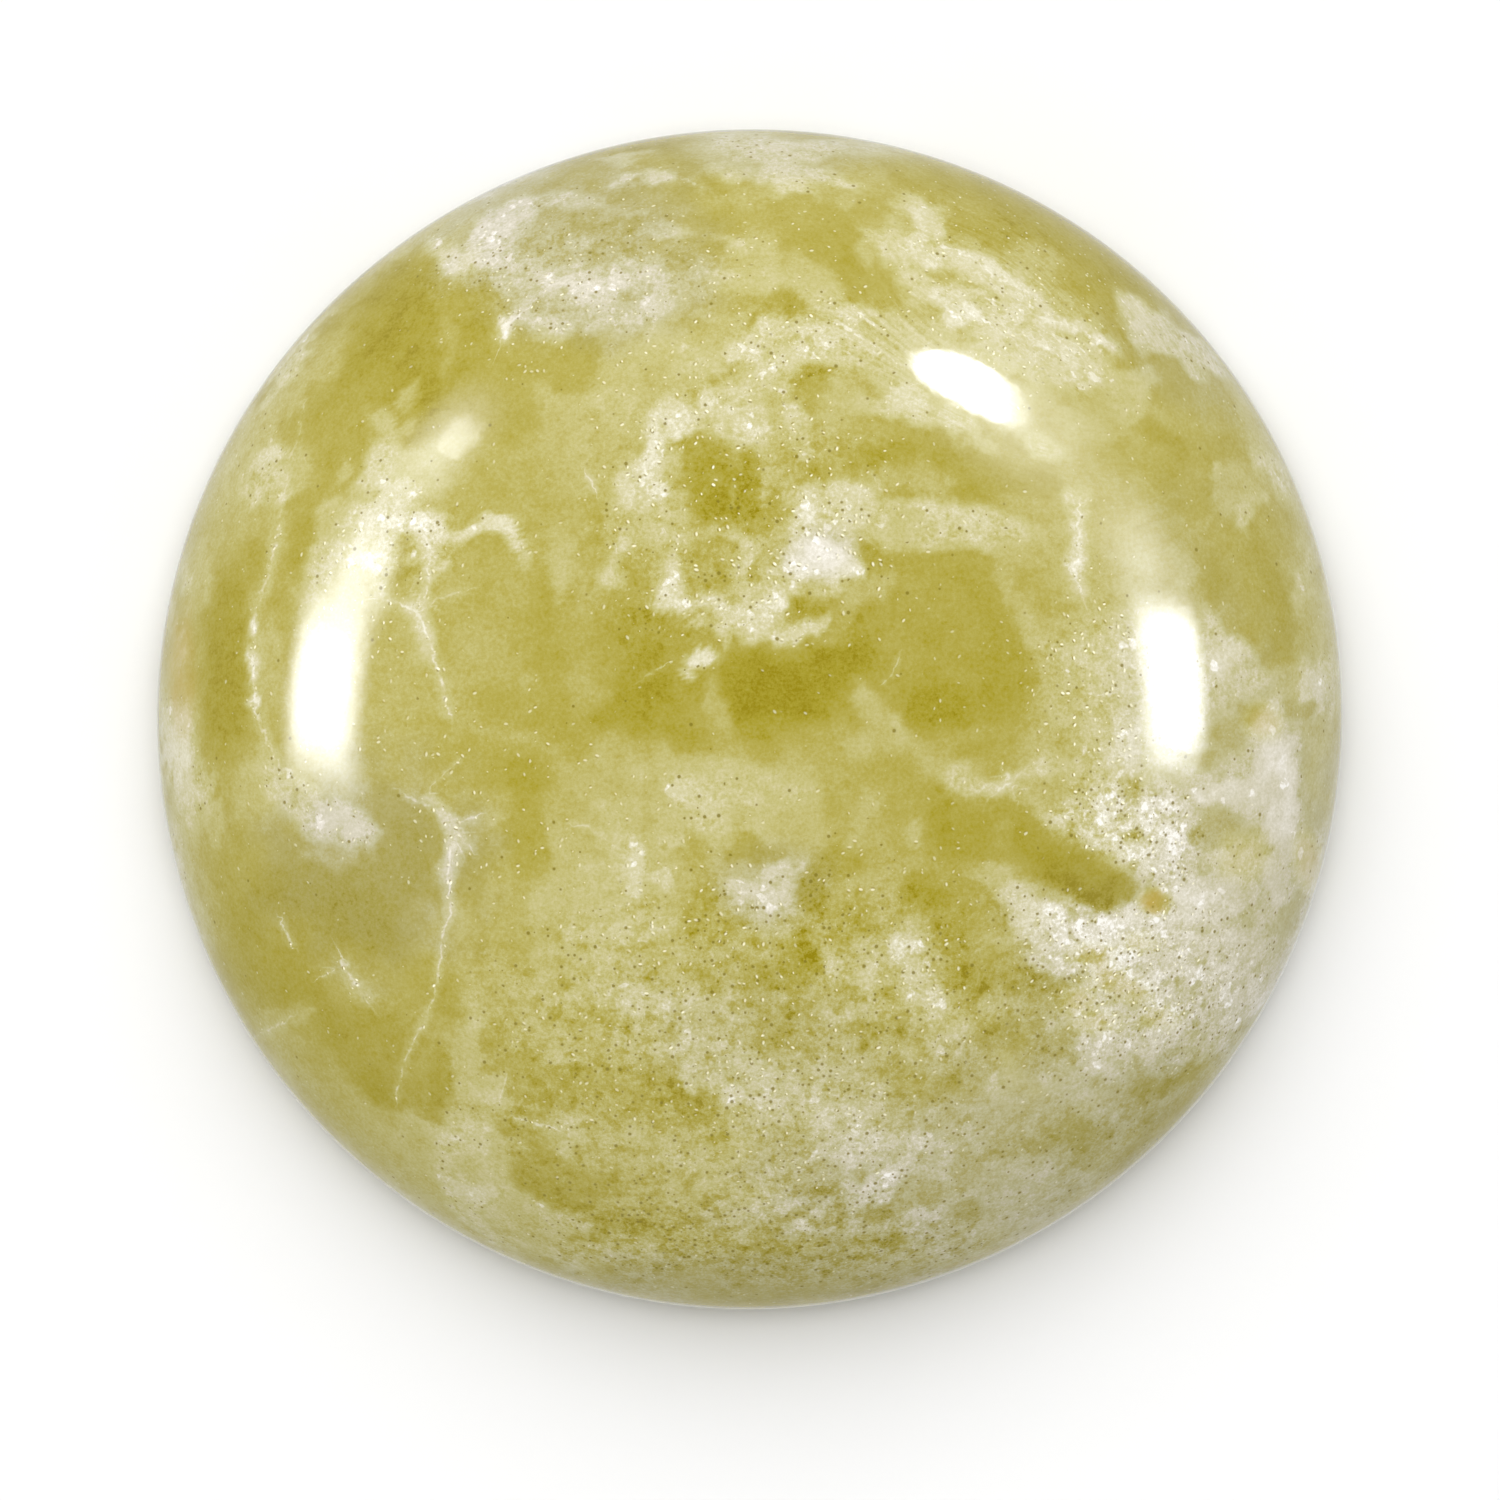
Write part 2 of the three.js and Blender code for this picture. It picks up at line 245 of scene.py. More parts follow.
    (8.3, -7.3, 0.4, 0.4, 0, 0.62), (11.5, -7.8, 0.5, 0.4, 30, 0.6), (10.3, -4.65, 0.28, 0.22, 0, 0.32),
    (8.55, -6.1, 0.35, 0.14, 10, 0.46), (9.6, -7.5, 0.3, 0.2, 0, 0.5), (10.1, -7.7, 0.3, 0.18, 0, 0.52),
    (13.0, -5.1, 0.4, 0.6, 20, 0.56), (12.5, -7.9, 0.6, 0.25, 55, 0.42),
    # olive left of and below that cloud
    (5.5, -6.5, 0.6, 0.65, 0, 0.14), (4.9, -4.8, 0.55, 0.4, 0, 0.2), (6.4, -5.3, 0.6, 0.4, 0, 0.32),
    (7.1, -6.7, 0.7, 0.42, -10, 0.22), (6.5, -8.0, 0.75, 0.42, -15, 0.24),
    (7.5, -8.5, 0.5, 0.35, 0, 0.28), (10.7, -9.1, 0.85, 0.32, 35, 0.16), (10.0, -9.6, 0.5, 0.3, 35, 0.24),
    (8.2, -10.6, 1.0, 0.42, 10, 0.24), (8.6, -11.2, 0.5, 0.25, 30, 0.3), (6.3, -9.4, 0.42, 0.26, 0, 0.7),
    (7.5, -9.1, 0.2, 0.12, 40, 0.7), (8.5, -9.3, 0.8, 0.5, 0, 0.52), (5.4, -12.5, 0.42, 0.26, 0, 0.27),
    (6.6, -12.6, 0.5, 0.25, 0, 0.58), (7.0, -11.8, 0.7, 0.3, 10, 0.54), (5.6, -10.5, 0.6, 0.18, 0, 0.52),
    # lower middle
    (-0.8, -1.5, 1.1, 0.42, 0, 0.56), (-1.7, -1.9, 0.35, 0.4, 0, 0.66), (0.7, -1.8, 0.9, 0.5, 0, 0.52),
    (-1.0, -2.6, 0.5, 0.35, 0, 0.58), (-3.0, -3.6, 0.42, 0.5, 20, 0.74), (-3.0, -4.2, 0.32, 0.4, 0, 0.72),
    (-2.3, -4.1, 0.32, 0.32, 0, 0.68), (-3.7, -2.5, 0.3, 0.3, 0, 0.5), (-1.5, -3.4, 0.36, 0.5, 0, 0.29),
    (-1.1, -4.2, 0.28, 0.5, 0, 0.33), (-0.1, -3.3, 0.42, 0.3, 0, 0.24), (0.3, -3.6, 0.25, 0.15, 0, 0.28),
    (2.4, -3.6, 0.5, 0.5, 20, 0.15), (0.6, -4.3, 0.6, 0.5, 0, 0.7), (1.15, -3.75, 0.24, 0.3, 0, 0.74),
    (0.6, -3.75, 0.4, 0.2, 0, 0.76), (-0.4, -4.4, 0.4, 0.28, 0, 0.64), (1.7, -4.4, 0.45, 0.5, 0, 0.1),
    (2.7, -3.2, 0.25, 0.2, 0, 0.52), (3.3, -4.4, 0.3, 0.5, 0, 0.5), (4.2, -4.6, 0.4, 0.4, 0, 0.3),
    (3.0, 0.3, 0.32, 0.65, 15, 0.46), (3.8, -0.2, 0.4, 0.25, -30, 0.52),
    (-0.85, 0.4, 0.26, 0.7, 15, 0.44), (4.7, -2.3, 0.42, 0.6, 0, 0.12),
    # lower left of the middle
    (-2.8, -5.4, 1.1, 0.4, 0, 0.54), (-4.5, -6.7, 0.24, 0.24, 0, 0.22), (-2.4, -7.3, 0.7, 0.26, 0, 0.64),
    (-1.6, -8.1, 0.38, 0.34, 0, 0.7), (-2.6, -8.6, 0.55, 0.14, 45, 0.6), (-4.5, -7.3, 0.3, 0.25, 0, 0.54),
    (-1.5, -7.0, 0.4, 0.28, 0, 0.6), (-0.7, -8.5, 0.5, 0.3, 0, 0.54), (-2.1, -9.5, 0.85, 0.42, -10, 0.18),
    (-1.1, -10.3, 0.5, 0.24, -10, 0.3), (-4.5, -9.6, 0.9, 0.5, 0, 0.21),
    (-0.6, -9.3, 0.42, 0.42, 30, 0.68), (0.8, -9.6, 1.1, 0.36, -5, 0.6), (1.9, -9.8, 0.42, 0.3, 0, 0.52),
    (2.7, -10.35, 0.55, 0.28, -10, 0.64), (3.4, -10.8, 0.4, 0.22, 0, 0.7),
    (2.4, -10.8, 0.5, 0.16, 0, 0.7), (4.6, -10.8, 0.5, 0.18, 0, 0.68), (3.3, -11.75, 0.6, 0.24, 8, 0.8),
    (4.6, -12.6, 0.6, 0.16, 15, 0.64), (1.3, -11.2, 0.6, 0.24, 0, 0.7), (0.3, -12.4, 0.5, 0.2, 0, 0.6),
    (1.9, -13.05, 0.6, 0.14, 0, 0.62), (2.6, -13.3, 0.5, 0.16, 0, 0.58), (0.2, -11.7, 0.4, 0.2, 0, 0.58),
    (1.6, -12.0, 0.65, 0.34, 0, 0.28), (2.7, -11.6, 0.3, 0.14, 0, 0.36),
    (2.3, -12.5, 0.24, 0.34, 30, 0.25), (1.5, -12.75, 0.55, 0.16, -5, 0.26),
    (0.7, -13.5, 0.7, 0.26, 0, 0.26), (3.6, -13.25, 0.72, 0.2, 0, 0.22),
    (2.4, -13.75, 0.3, 0.14, 0, 0.28), (3.4, -12.4, 0.35, 0.14, 0, 0.36),
    (1.1, -14.35, 0.28, 0.07, 0, 0.34), (-4.2, -11.8, 1.2, 0.5, -22, 0.14),
    (-5.5, -11.3, 0.6, 0.6, 0, 0.16), (-2.9, -12.4, 1.0, 0.34, -15, 0.32),
    (-2.7, -13.2, 1.0, 0.34, -5, 0.28), (-4.4, -13.15, 0.28, 0.26, 45, 0.2),
    (-1.1, -13.3, 0.6, 0.2, 0, 0.32), (-3.4, -9.9, 0.8, 0.4, 0, 0.3), (3.0, -8.0, 0.6, 0.28, 0, 0.25),
    (1.3, -5.7, 0.42, 0.42, 0, 0.2), (2.9, -5.3, 0.32, 0.32, 0, 0.2), (0.2, -6.3, 1.4, 0.28, 0, 0.28),
    (2.3, -6.9, 0.42, 0.15, 10, 0.22), (1.1, -7.5, 0.28, 0.28, 0, 0.24),
    (3.5, -7.1, 0.34, 0.2, -30, 0.24), (3.8, -7.8, 0.2, 0.2, 0, 0.22), (1.3, -8.3, 0.5, 0.28, 0, 0.32),
    (4.0, -5.75, 0.5, 0.36, 0, 0.74), (4.3, -6.4, 0.5, 0.36, -30, 0.64), (2.0, -6.3, 0.38, 0.3, 0, 0.6),
    (2.3, -7.6, 0.34, 0.36, 0, 0.68), (4.6, -7.4, 0.28, 0.5, 20, 0.7), (3.2, -7.5, 0.3, 0.25, 0, 0.54),
    (4.4, -9.5, 0.8, 0.38, 0, 0.3), (5.0, -9.2, 0.3, 0.3, 0, 0.22), (2.9, -9.0, 0.5, 0.3, 0, 0.5),
    # lower left
    (-9.2, -9.4, 0.75, 0.42, -15, 0.12), (-8.3, -9.7, 0.5, 0.34, -10, 0.18),
    (-8.2, -5.4, 0.45, 0.6, 0, 0.38), (-7.3, -8.2, 0.18, 0.95, -5, 0.42),
    (-7.0, -9.6, 0.9, 0.24, -18, 0.5), (-6.6, -9.7, 0.3, 0.2, 0, 0.6), (-6.5, -8.2, 0.6, 0.4, 0, 0.23),
    (-5.8, -7.85, 0.28, 0.12, 50, 0.56), (-5.2, -6.6, 0.28, 0.65, 0, 0.52),
    (-5.3, -8.7, 0.24, 0.5, 0, 0.46), (-5.7, -9.5, 0.46, 0.4, 0, 0.2),
    (-8.4, -10.3, 0.6, 0.26, -40, 0.44), (-6.8, -10.9, 0.22, 0.32, 0, 0.68),
    (-7.2, -11.6, 0.5, 0.4, -40, 0.42), (-7.2, -12.4, 0.34, 0.14, -40, 0.58),
    (-5.5, -12.5, 0.36, 0.2, 0, 0.6), (-6.4, -12.3, 0.5, 0.2, -30, 0.5),
    (-5.4, -13.4, 0.8, 0.14, -20, 0.48), (-11.4, -7.5, 0.32, 0.16, 20, 0.4),
    # left side
    (-9.5, 4.4, 0.5, 0.75, 15, 0.82), (-8.2, 4.75, 0.42, 0.38, 0, 0.82), (-8.9, 5.1, 1.0, 0.36, -5, 0.82),
    (-8.8, 3.9, 0.24, 0.5, 0, 0.24), (-9.3, 3.3, 0.25, 0.35, 0, 0.72), (-6.8, 3.5, 1.0, 1.1, 0, 0.33),
    (-10.6, -2.5, 0.8, 0.45, -15, 0.66), (-9.8, -3.0, 0.42, 0.3, 0, 0.62),
    (-11.3, -1.9, 0.5, 0.3, 0, 0.5), (-12.6, 1.3, 0.14, 0.4, 0, 0.66), (-12.6, 0.4, 0.13, 0.24, 0, 0.8),
    (-12.6, 2.3, 0.12, 0.3, 0, 0.74), (-13.9, 3.4, 0.24, 0.6, 10, 0.44),
    (-14.55, -1.0, 0.36, 1.2, 6, 0.82), (-14.2, -1.9, 0.25, 0.6, 10, 0.68),
    (-13.6, -2.5, 0.34, 0.34, 0, 0.54), (-13.6, -1.8, 0.14, 0.28, 0, 0.2),
    (-13.5, -2.9, 0.26, 0.6, 0, 0.44), (-11.8, -3.0, 0.4, 0.6, 0, 0.23), (-5.8, -2.5, 0.7, 0.5, 0, 0.19),
    (-6.6, -0.5, 0.42, 0.14, 0, 0.42), (-5.3, -4.8, 0.45, 0.28, 30, 0.5),
    (-7.55, -3.6, 0.28, 0.9, 0, 0.5), (-7.5, -4.9, 0.3, 0.5, 0, 0.44),
    (-8.0, -2.2, 0.32, 0.14, -40, 0.56), (-6.7, -2.55, 0.5, 0.12, 20, 0.46),
    (-4.4, 9.35, 0.6, 0.32, 0, 0.2),
    # upper left shoulder and rim
    (-8.7, 8.1, 0.55, 0.16, 55, 0.45), (-7.7, 9.6, 0.9, 0.22, 88, 0.3), (-8.0, 6.4, 1.0, 0.7, 45, 0.42),
    (-9.35, 6.4, 1.1, 0.4, 88, 0.7), (-8.4, 6.2, 0.8, 0.7, 0, 0.5), (-12.2, 6.65, 0.5, 0.26, 50, 0.76),
    (-11.7, 5.7, 0.42, 0.2, 60, 0.78), (-13.1, 6.4, 0.55, 0.16, 70, 0.52),
    (-12.5, 5.7, 0.28, 0.14, 50, 0.54), (-12.6, 6.05, 0.24, 0.2, 0, 0.28),
    (-11.0, 5.8, 0.45, 0.5, 0, 0.25), (-10.3, 6.3, 0.2, 0.3, 0, 0.48), (-11.6, 8.6, 0.36, 0.12, 60, 0.6),
    (-10.5, 5.1, 0.3, 0.5, -20, 0.42), (-5.2, 7.5, 0.28, 0.95, 0, 0.42),
    # laid next: upper left
    (-8.6, 11.3, 0.7, 0.4, 40, 0.14), (-6.1, 9.9, 0.16, 0.32, 10, 0.72),
    (-10.9, 8.9, 1.5, 0.45, 50, 0.42), (-10.1, 10.8, 1.8, 0.25, 45, 0.3),
    (-8.6, 12.1, 1.2, 0.3, 32, 0.44), (-11.7, 8.8, 1.5, 0.16, 52, 0.6), (-11.6, 6.2, 0.6, 0.45, 60, 0.5),
    (-12.4, 7.4, 0.6, 0.28, 60, 0.46), (-6.35, 10.45, 0.35, 0.25, 0, 0.28),
    (-5.3, 12.3, 0.7, 0.35, 10, 0.4), (-5.1, 9.75, 0.5, 0.22, 0, 0.52), (-3.0, 11.9, 1.2, 0.26, -3, 0.38),
    (-3.6, 12.6, 0.9, 0.22, 5, 0.32), (-1.2, 11.9, 0.9, 0.32, 0, 0.3), (0.2, 11.6, 0.5, 0.26, 0, 0.38),
    (-4.6, 13.6, 0.7, 0.26, 10, 0.34), (-3.4, 10.0, 1.2, 0.32, 0, 0.58),
    # laid next: top right
    (3.4, 12.0, 0.7, 0.5, -50, 0.66), (4.1, 11.1, 0.32, 0.55, 20, 0.64), (1.8, 10.75, 0.5, 0.32, 0, 0.56),
    (0.0, 8.4, 0.9, 0.28, 0, 0.62), (7.2, 11.7, 0.6, 0.28, -30, 0.42), (8.5, 8.8, 0.6, 0.5, 0, 0.62),
    (7.9, 10.2, 0.5, 0.2, -35, 0.84), (9.8, 8.5, 0.5, 0.4, 0, 0.52), (9.9, 10.3, 0.7, 0.34, -35, 0.68),
    (11.3, 8.85, 0.5, 0.2, -50, 0.6), (9.5, 6.6, 1.0, 0.45, -10, 0.3), (12.4, 6.1, 0.5, 0.4, -60, 0.45),
    # laid next: ring on the crown
    (-2.0, 6.7, 0.28, 0.5, 0, 0.76), (-1.5, 7.4, 0.5, 0.3, 0, 0.84), (-0.1, 7.15, 0.5, 0.3, 0, 0.74),
    (2.2, 4.95, 1.2, 0.35, 0, 0.66), (4.2, 5.0, 1.5, 0.42, 0, 0.62), (4.0, 4.55, 1.3, 0.3, 0, 0.62),
    (3.3, 3.5, 0.35, 0.5, 0, 0.44), (5.8, 4.95, 1.0, 0.36, -5, 0.6), (-1.25, 1.45, 0.42, 0.16, 5, 0.82),
    (-1.45, 1.15, 0.14, 0.16, 0, 0.76), (-1.2, 2.3, 0.5, 0.16, 10, 0.6), (-2.2, 0.0, 0.8, 0.6, 0, 0.13),
    (-1.4, 3.3, 0.6, 0.4, 0, 0.4), (1.4, 2.6, 0.38, 0.32, 0, 0.12), (2.1, 1.4, 0.8, 0.4, 0, 0.15),
    (1.1, 3.2, 0.32, 0.26, 0, 0.66), (2.7, 3.2, 0.4, 0.4, 0, 0.44),
    # laid next: left
    (-12.1, 1.2, 0.4, 1.3, 0, 0.42), (-11.6, -1.9, 1.2, 0.45, -45, 0.62),
    (-10.6, -3.0, 1.0, 0.36, -20, 0.56), (-10.1, -1.6, 0.4, 0.5, 0, 0.5), (-6.0, -1.3, 0.8, 0.8, 0, 0.26),
    (-5.8, -3.4, 0.7, 0.8, 0, 0.21), (-7.2, 4.75, 0.5, 0.22, 25, 0.84), (-6.5, 5.0, 0.5, 0.2, 5, 0.86),
    (-6.0, 4.6, 0.22, 0.4, 20, 0.82), (-5.85, 4.0, 0.16, 0.34, 0, 0.66),
    # laid next: right
    # The pale patch at (9.4, 1.3) is partly grainy calcite and partly painted glow beside the right
    # highlight.
    (9.4, 1.3, 0.6, 1.0, 0, 0.64), (9.0, -0.6, 0.8, 0.8, 0, 0.58), (12.6, 1.1, 0.45, 0.5, 0, 0.6),
    (10.6, -2.5, 0.7, 0.45, -20, 0.9), (10.5, -3.9, 1.0, 0.5, -30, 0.8), (12.4, -4.0, 1.0, 0.8, 0, 0.66),
    (13.6, -3.8, 0.3, 0.8, 10, 0.68), (12.5, -2.0, 0.9, 0.45, 0, 0.74), (7.7, -1.8, 0.5, 0.36, 0, 0.36),
    (5.6, -1.8, 0.7, 0.22, -10, 0.62),
    # laid next: middle
    (2.3, -1.9, 0.7, 0.9, 0, 0.28), (1.7, -0.7, 0.6, 0.35, 0, 0.28), (4.0, -2.2, 0.45, 0.8, -20, 0.24),
    (-3.8, -4.3, 0.7, 0.7, 0, 0.56), (-1.9, -3.2, 0.3, 0.25, 0, 0.62), (-2.9, -1.4, 0.4, 0.4, 0, 0.56),
    (3.4, -3.3, 0.6, 0.8, 0, 0.32), (0.3, -3.5, 0.9, 0.28, 0, 0.24), (-0.7, -2.0, 0.9, 0.5, 0, 0.6),
    (-3.4, -3.2, 0.6, 0.4, 0, 0.56), (-4.4, -4.9, 0.9, 0.5, 0, 0.48), (-4.3, -6.0, 0.6, 0.9, 0, 0.48),
    (-3.9, -5.5, 0.8, 0.4, 0, 0.6), (-3.2, -7.2, 0.6, 0.4, 0, 0.62), (-0.8, -5.6, 1.3, 0.5, 0, 0.37),
    (-4.2, -8.1, 0.8, 0.5, 0, 0.33), (-2.7, -8.75, 0.5, 0.3, 0, 0.38), (3.1, -6.4, 0.28, 0.7, 0, 0.55),
    (4.9, -8.1, 0.5, 0.5, 0, 0.56), (-1.1, -11.1, 1.5, 0.6, 0, 0.47), (-2.4, -11.8, 1.1, 0.28, -10, 0.42),
    (-3.7, -13.0, 0.5, 0.25, 0, 0.26),
    # laid next: lower right
    (7.0, -5.2, 0.55, 0.36, 0, 0.78), (7.8, -6.1, 0.7, 0.45, -20, 0.74), (6.4, -7.35, 0.8, 0.26, 0, 0.46),
    (8.3, -7.7, 0.6, 0.4, 0, 0.66), (9.2, -8.7, 0.8, 0.36, 0, 0.62), (7.1, -9.4, 0.8, 0.4, 0, 0.48),
    (11.0, -8.6, 0.5, 0.18, 20, 0.62),
    # laid next: lower left
    (-9.8, -6.6, 1.2, 0.7, -30, 0.32), (-7.0, -7.6, 0.3, 1.0, 0, 0.5), (-6.0, -8.75, 0.7, 0.36, 0, 0.25),
    (-7.4, -10.7, 0.8, 0.45, -30, 0.6), (-7.0, -11.8, 0.5, 0.6, -20, 0.5),
    # laid last, small ones all over
    (-11.6, -4.4, 1.2, 0.8, 0, 0.15), (-7.3, -1.1, 0.9, 0.6, 0, 0.25), (-6.0, 0.25, 1.2, 0.55, 0, 0.22),
    (-4.5, 0.1, 0.8, 0.9, 0, 0.22), (-6.2, 7.8, 0.7, 1.0, 0, 0.2), (-4.8, -9.0, 1.0, 0.36, 0, 0.2),
    (-4.4, 8.7, 0.6, 0.4, 0, 0.2), (-3.9, 4.1, 0.42, 0.6, 0, 0.28), (-3.6, -8.9, 0.6, 0.34, 0, 0.26),
    (-3.4, 0.3, 0.9, 0.6, 0, 0.1), (-3.4, 11.8, 0.8, 0.28, 0, 0.3), (-3.3, -12.7, 0.9, 0.24, -10, 0.12),
    (-2.4, 1.0, 0.6, 0.7, 0, 0.06), (-1.4, -9.9, 0.6, 0.4, 0, 0.16), (-1.3, 12.6, 1.2, 0.34, 0, 0.24),
    (-1.2, -4.9, 0.5, 0.7, 0, 0.26), (1.1, -6.4, 0.6, 0.6, 0, 0.16), (1.9, -11.5, 0.6, 0.24, 0, 0.38),
    (2.4, 1.4, 0.9, 0.6, 30, 0.05), (3.6, -8.9, 0.7, 0.4, 0, 0.26), (4.6, 0.25, 0.9, 0.6, 0, 0.08),
    (4.6, -12.05, 0.7, 0.3, 10, 0.32), (9.7, -7.2, 0.4, 0.3, 0, 0.5), (-12.3, 6.0, 0.6, 0.6, 60, 0.6),
    (-11.4, 8.2, 0.8, 0.26, 55, 0.46), (-9.0, 5.7, 0.85, 0.32, 0, 0.74), (-8.2, 4.0, 0.22, 0.6, 0, 0.62),
    (-7.4, -11.5, 0.6, 0.3, -40, 0.56), (-7.0, -12.1, 0.7, 0.36, -35, 0.72),
    (-6.3, -12.5, 0.6, 0.24, -30, 0.56), (-5.8, 12.7, 0.6, 0.28, 15, 0.74),
    (-4.9, 3.8, 0.34, 0.9, 0, 0.52), (1.3, 5.0, 0.34, 0.3, 0, 0.82), (2.0, 13.7, 0.7, 0.24, -10, 0.64),
    (2.3, 13.1, 1.0, 0.28, -15, 0.42), (2.6, 5.7, 0.6, 0.36, 0, 0.68), (3.7, 12.8, 0.6, 0.45, -40, 0.54),
    (4.7, 6.0, 0.6, 0.34, 0, 0.42), (5.3, 7.2, 0.6, 0.24, -30, 0.64), (5.8, 4.6, 0.7, 0.4, 0, 0.64),
    (5.9, 6.8, 0.5, 0.28, -30, 0.46), (6.6, 3.7, 0.3, 0.8, 0, 0.42), (8.4, 4.1, 0.26, 0.6, 0, 0.7),
    (11.3, -4.7, 0.6, 0.4, 0, 0.82), (-4.6, 11.9, 0.6, 0.24, 0, 0.4), (-6.8, 9.85, 0.5, 0.5, 0, 0.14),
    (0.6, -8.1, 0.8, 0.5, 0, 0.26), (4.5, -4.4, 0.6, 0.5, 0, 0.12), (-1.6, -0.5, 0.7, 0.4, 0, 0.14),
    (6.1, -1.35, 0.6, 0.28, 0, 0.3), (8.3, -4.35, 1.0, 0.24, -15, 0.02), (12.2, -1.3, 0.5, 0.34, 0, 0.5),
    (3.1, 12.8, 0.5, 0.36, 0, 0.26), (-11.9, -7.5, 0.5, 0.22, 25, 0.42),
    (-10.6, -2.75, 0.6, 0.45, -15, 0.7), (-8.6, -11.0, 0.9, 0.4, -45, 0.46),
    (-8.35, 2.3, 0.26, 1.0, 0, 0.58), (-8.5, 4.3, 0.26, 0.4, 0, 0.66), (-4.4, -13.3, 0.6, 0.16, 0, 0.44),
    (-1.8, 6.5, 0.28, 0.5, 0, 0.46), (-0.1, 9.3, 0.6, 0.32, 0, 0.68), (2.9, 6.9, 0.5, 0.22, 0, 0.36),
    # The pale patches at (11.7, 2.3) and (10.9, 3.7) are partly calcite and partly painted glow round the
    # right highlight.
    (3.4, 8.0, 0.7, 0.22, -15, 0.6), (4.2, -7.2, 0.4, 0.5, 0, 0.62), (11.7, 2.3, 0.34, 0.8, 0, 0.66),
    (10.9, 3.7, 0.4, 0.6, 0, 0.48), (-12.6, 3.7, 0.3, 0.6, 0, 0.16), (-11.3, 4.6, 0.9, 0.34, 68, 0.12),
    (-10.0, -5.1, 1.3, 0.9, 0, 0.12), (-10.7, -3.6, 0.6, 0.26, -10, 0.42),
    (-7.9, -9.3, 0.34, 0.9, 0, 0.1), (-7.75, -7.1, 0.34, 0.6, 0, 0.16), (-5.7, -10.3, 0.7, 0.34, 0, 0.2),
    (-5.3, -12.0, 0.8, 0.32, -20, 0.1), (-3.3, 12.4, 0.8, 0.22, 0, 0.28), (-2.5, 11.5, 0.7, 0.2, 0, 0.44),
    (-1.2, 11.7, 1.0, 0.36, 0, 0.3), (-2.5, 2.5, 0.6, 0.28, 0, 0.14), (-0.9, 3.35, 0.45, 0.28, 0, 0.3),
    (-0.8, 2.1, 0.2, 0.42, 0, 0.6), (-4.2, 0.6, 0.5, 0.5, 0, 0.4), (-1.7, -12.8, 0.7, 0.24, 0, 0.16),
    (0.8, -12.95, 0.7, 0.26, 0, 0.26), (3.4, -12.6, 0.7, 0.28, 10, 0.28), (3.5, -1.3, 0.7, 0.5, 0, 0.24),
    (1.3, -1.4, 0.5, 0.35, 0, 0.36), (6.6, -10.9, 0.7, 0.3, 0, 0.28), (9.1, -3.1, 0.5, 0.4, 0, 0.66),
    (11.8, 3.3, 0.32, 0.6, 0, 0.18), (1.0, 13.3, 0.6, 0.2, 0, 0.64), (3.8, 8.25, 0.6, 0.28, -20, 0.7),
    (8.6, 0.9, 0.4, 0.8, 0, 0.62), (12.1, 5.5, 0.28, 0.4, 0, 0.52), (-7.1, -12.7, 0.7, 0.2, -32, 0.66),
    (-5.2, -13.65, 1.2, 0.2, -20, 0.58), (14.1, -3.7, 0.3, 0.9, 15, 0.74),
    (-14.35, 2.6, 0.2, 1.1, 10, 0.28), (-11.6, 9.15, 1.5, 0.2, 53, 0.6), (2.8, 11.8, 0.34, 0.36, 0, 0.48),
    (-0.7, 11.2, 0.4, 0.24, 0, 0.6), (-5.0, 9.95, 0.5, 0.24, 0, 0.64), (-3.5, 7.9, 0.45, 0.5, 0, 0.56),
    (-7.7, -2.6, 0.26, 0.26, 0, 0.66), (4.9, 12.6, 0.26, 0.34, -45, 0.66),
    (6.2, -4.0, 0.5, 0.26, -20, 0.5), (6.8, -4.4, 0.5, 0.22, -15, 0.74), (6.3, -3.1, 0.26, 0.5, 0, 0.3),
    (6.3, -5.5, 0.5, 0.22, 0, 0.46), (8.9, -10.1, 0.5, 0.34, 0, 0.46), (10.6, -8.8, 0.55, 0.32, 35, 0.54),
    (9.5, -0.7, 0.42, 0.6, 0, 0.78), (-3.2, -9.4, 0.5, 0.34, 0, 0.22), (-2.3, -9.0, 0.5, 0.28, 0, 0.2),
    (-1.2, 13.4, 0.8, 0.18, 0, 0.2), (-0.9, -6.5, 0.8, 0.5, 0, 0.32), (2.0, -13.2, 0.7, 0.24, 0, 0.28),
    (4.1, 4.9, 0.4, 0.5, 0, 0.5), (5.2, -5.4, 0.4, 0.4, 0, 0.18), (5.2, -6.9, 0.28, 0.28, 0, 0.16),
    (5.4, -11.5, 0.5, 0.36, 0, 0.32), (5.7, -0.9, 0.5, 0.3, 0, 0.2), (8.2, 2.1, 0.24, 0.34, 0, 0.42),
    (8.4, 7.5, 0.45, 0.34, 0, 0.44), (11.0, -7.1, 0.45, 0.4, 0, 0.58), (-10.9, 8.5, 0.4, 0.26, 50, 0.24),
    (-8.9, 7.4, 0.45, 0.2, 40, 0.44), (-9.5, 10.1, 0.9, 0.24, 46, 0.14),
    (14.15, 3.7, 0.2, 0.9, -15, 0.54), (1.3, -12.9, 0.5, 0.16, 0, 0.66),
    (4.2, -13.0, 0.5, 0.16, 10, 0.66), (-1.4, -9.2, 0.5, 0.24, -25, 0.56),
    (-0.4, -9.6, 0.5, 0.24, -10, 0.68), (0.2, -9.1, 0.7, 0.4, 0, 0.5), (-5.7, -1.6, 0.6, 0.6, 0, 0.14),
    (3.75, -13.15, 0.3, 0.16, 0, 0.08), (0.2, -7.0, 0.6, 0.5, 0, 0.29), (2.2, -7.1, 0.5, 0.5, 0, 0.34),
    # The patch at (2.45, 8.35) is partly painted glow from the back right highlight.
    (2.4, -9.5, 0.6, 0.4, 0, 0.43), (0.5, 11.6, 0.25, 0.6, 0, 0.52), (2.45, 8.35, 0.4, 0.7, 0, 0.5),
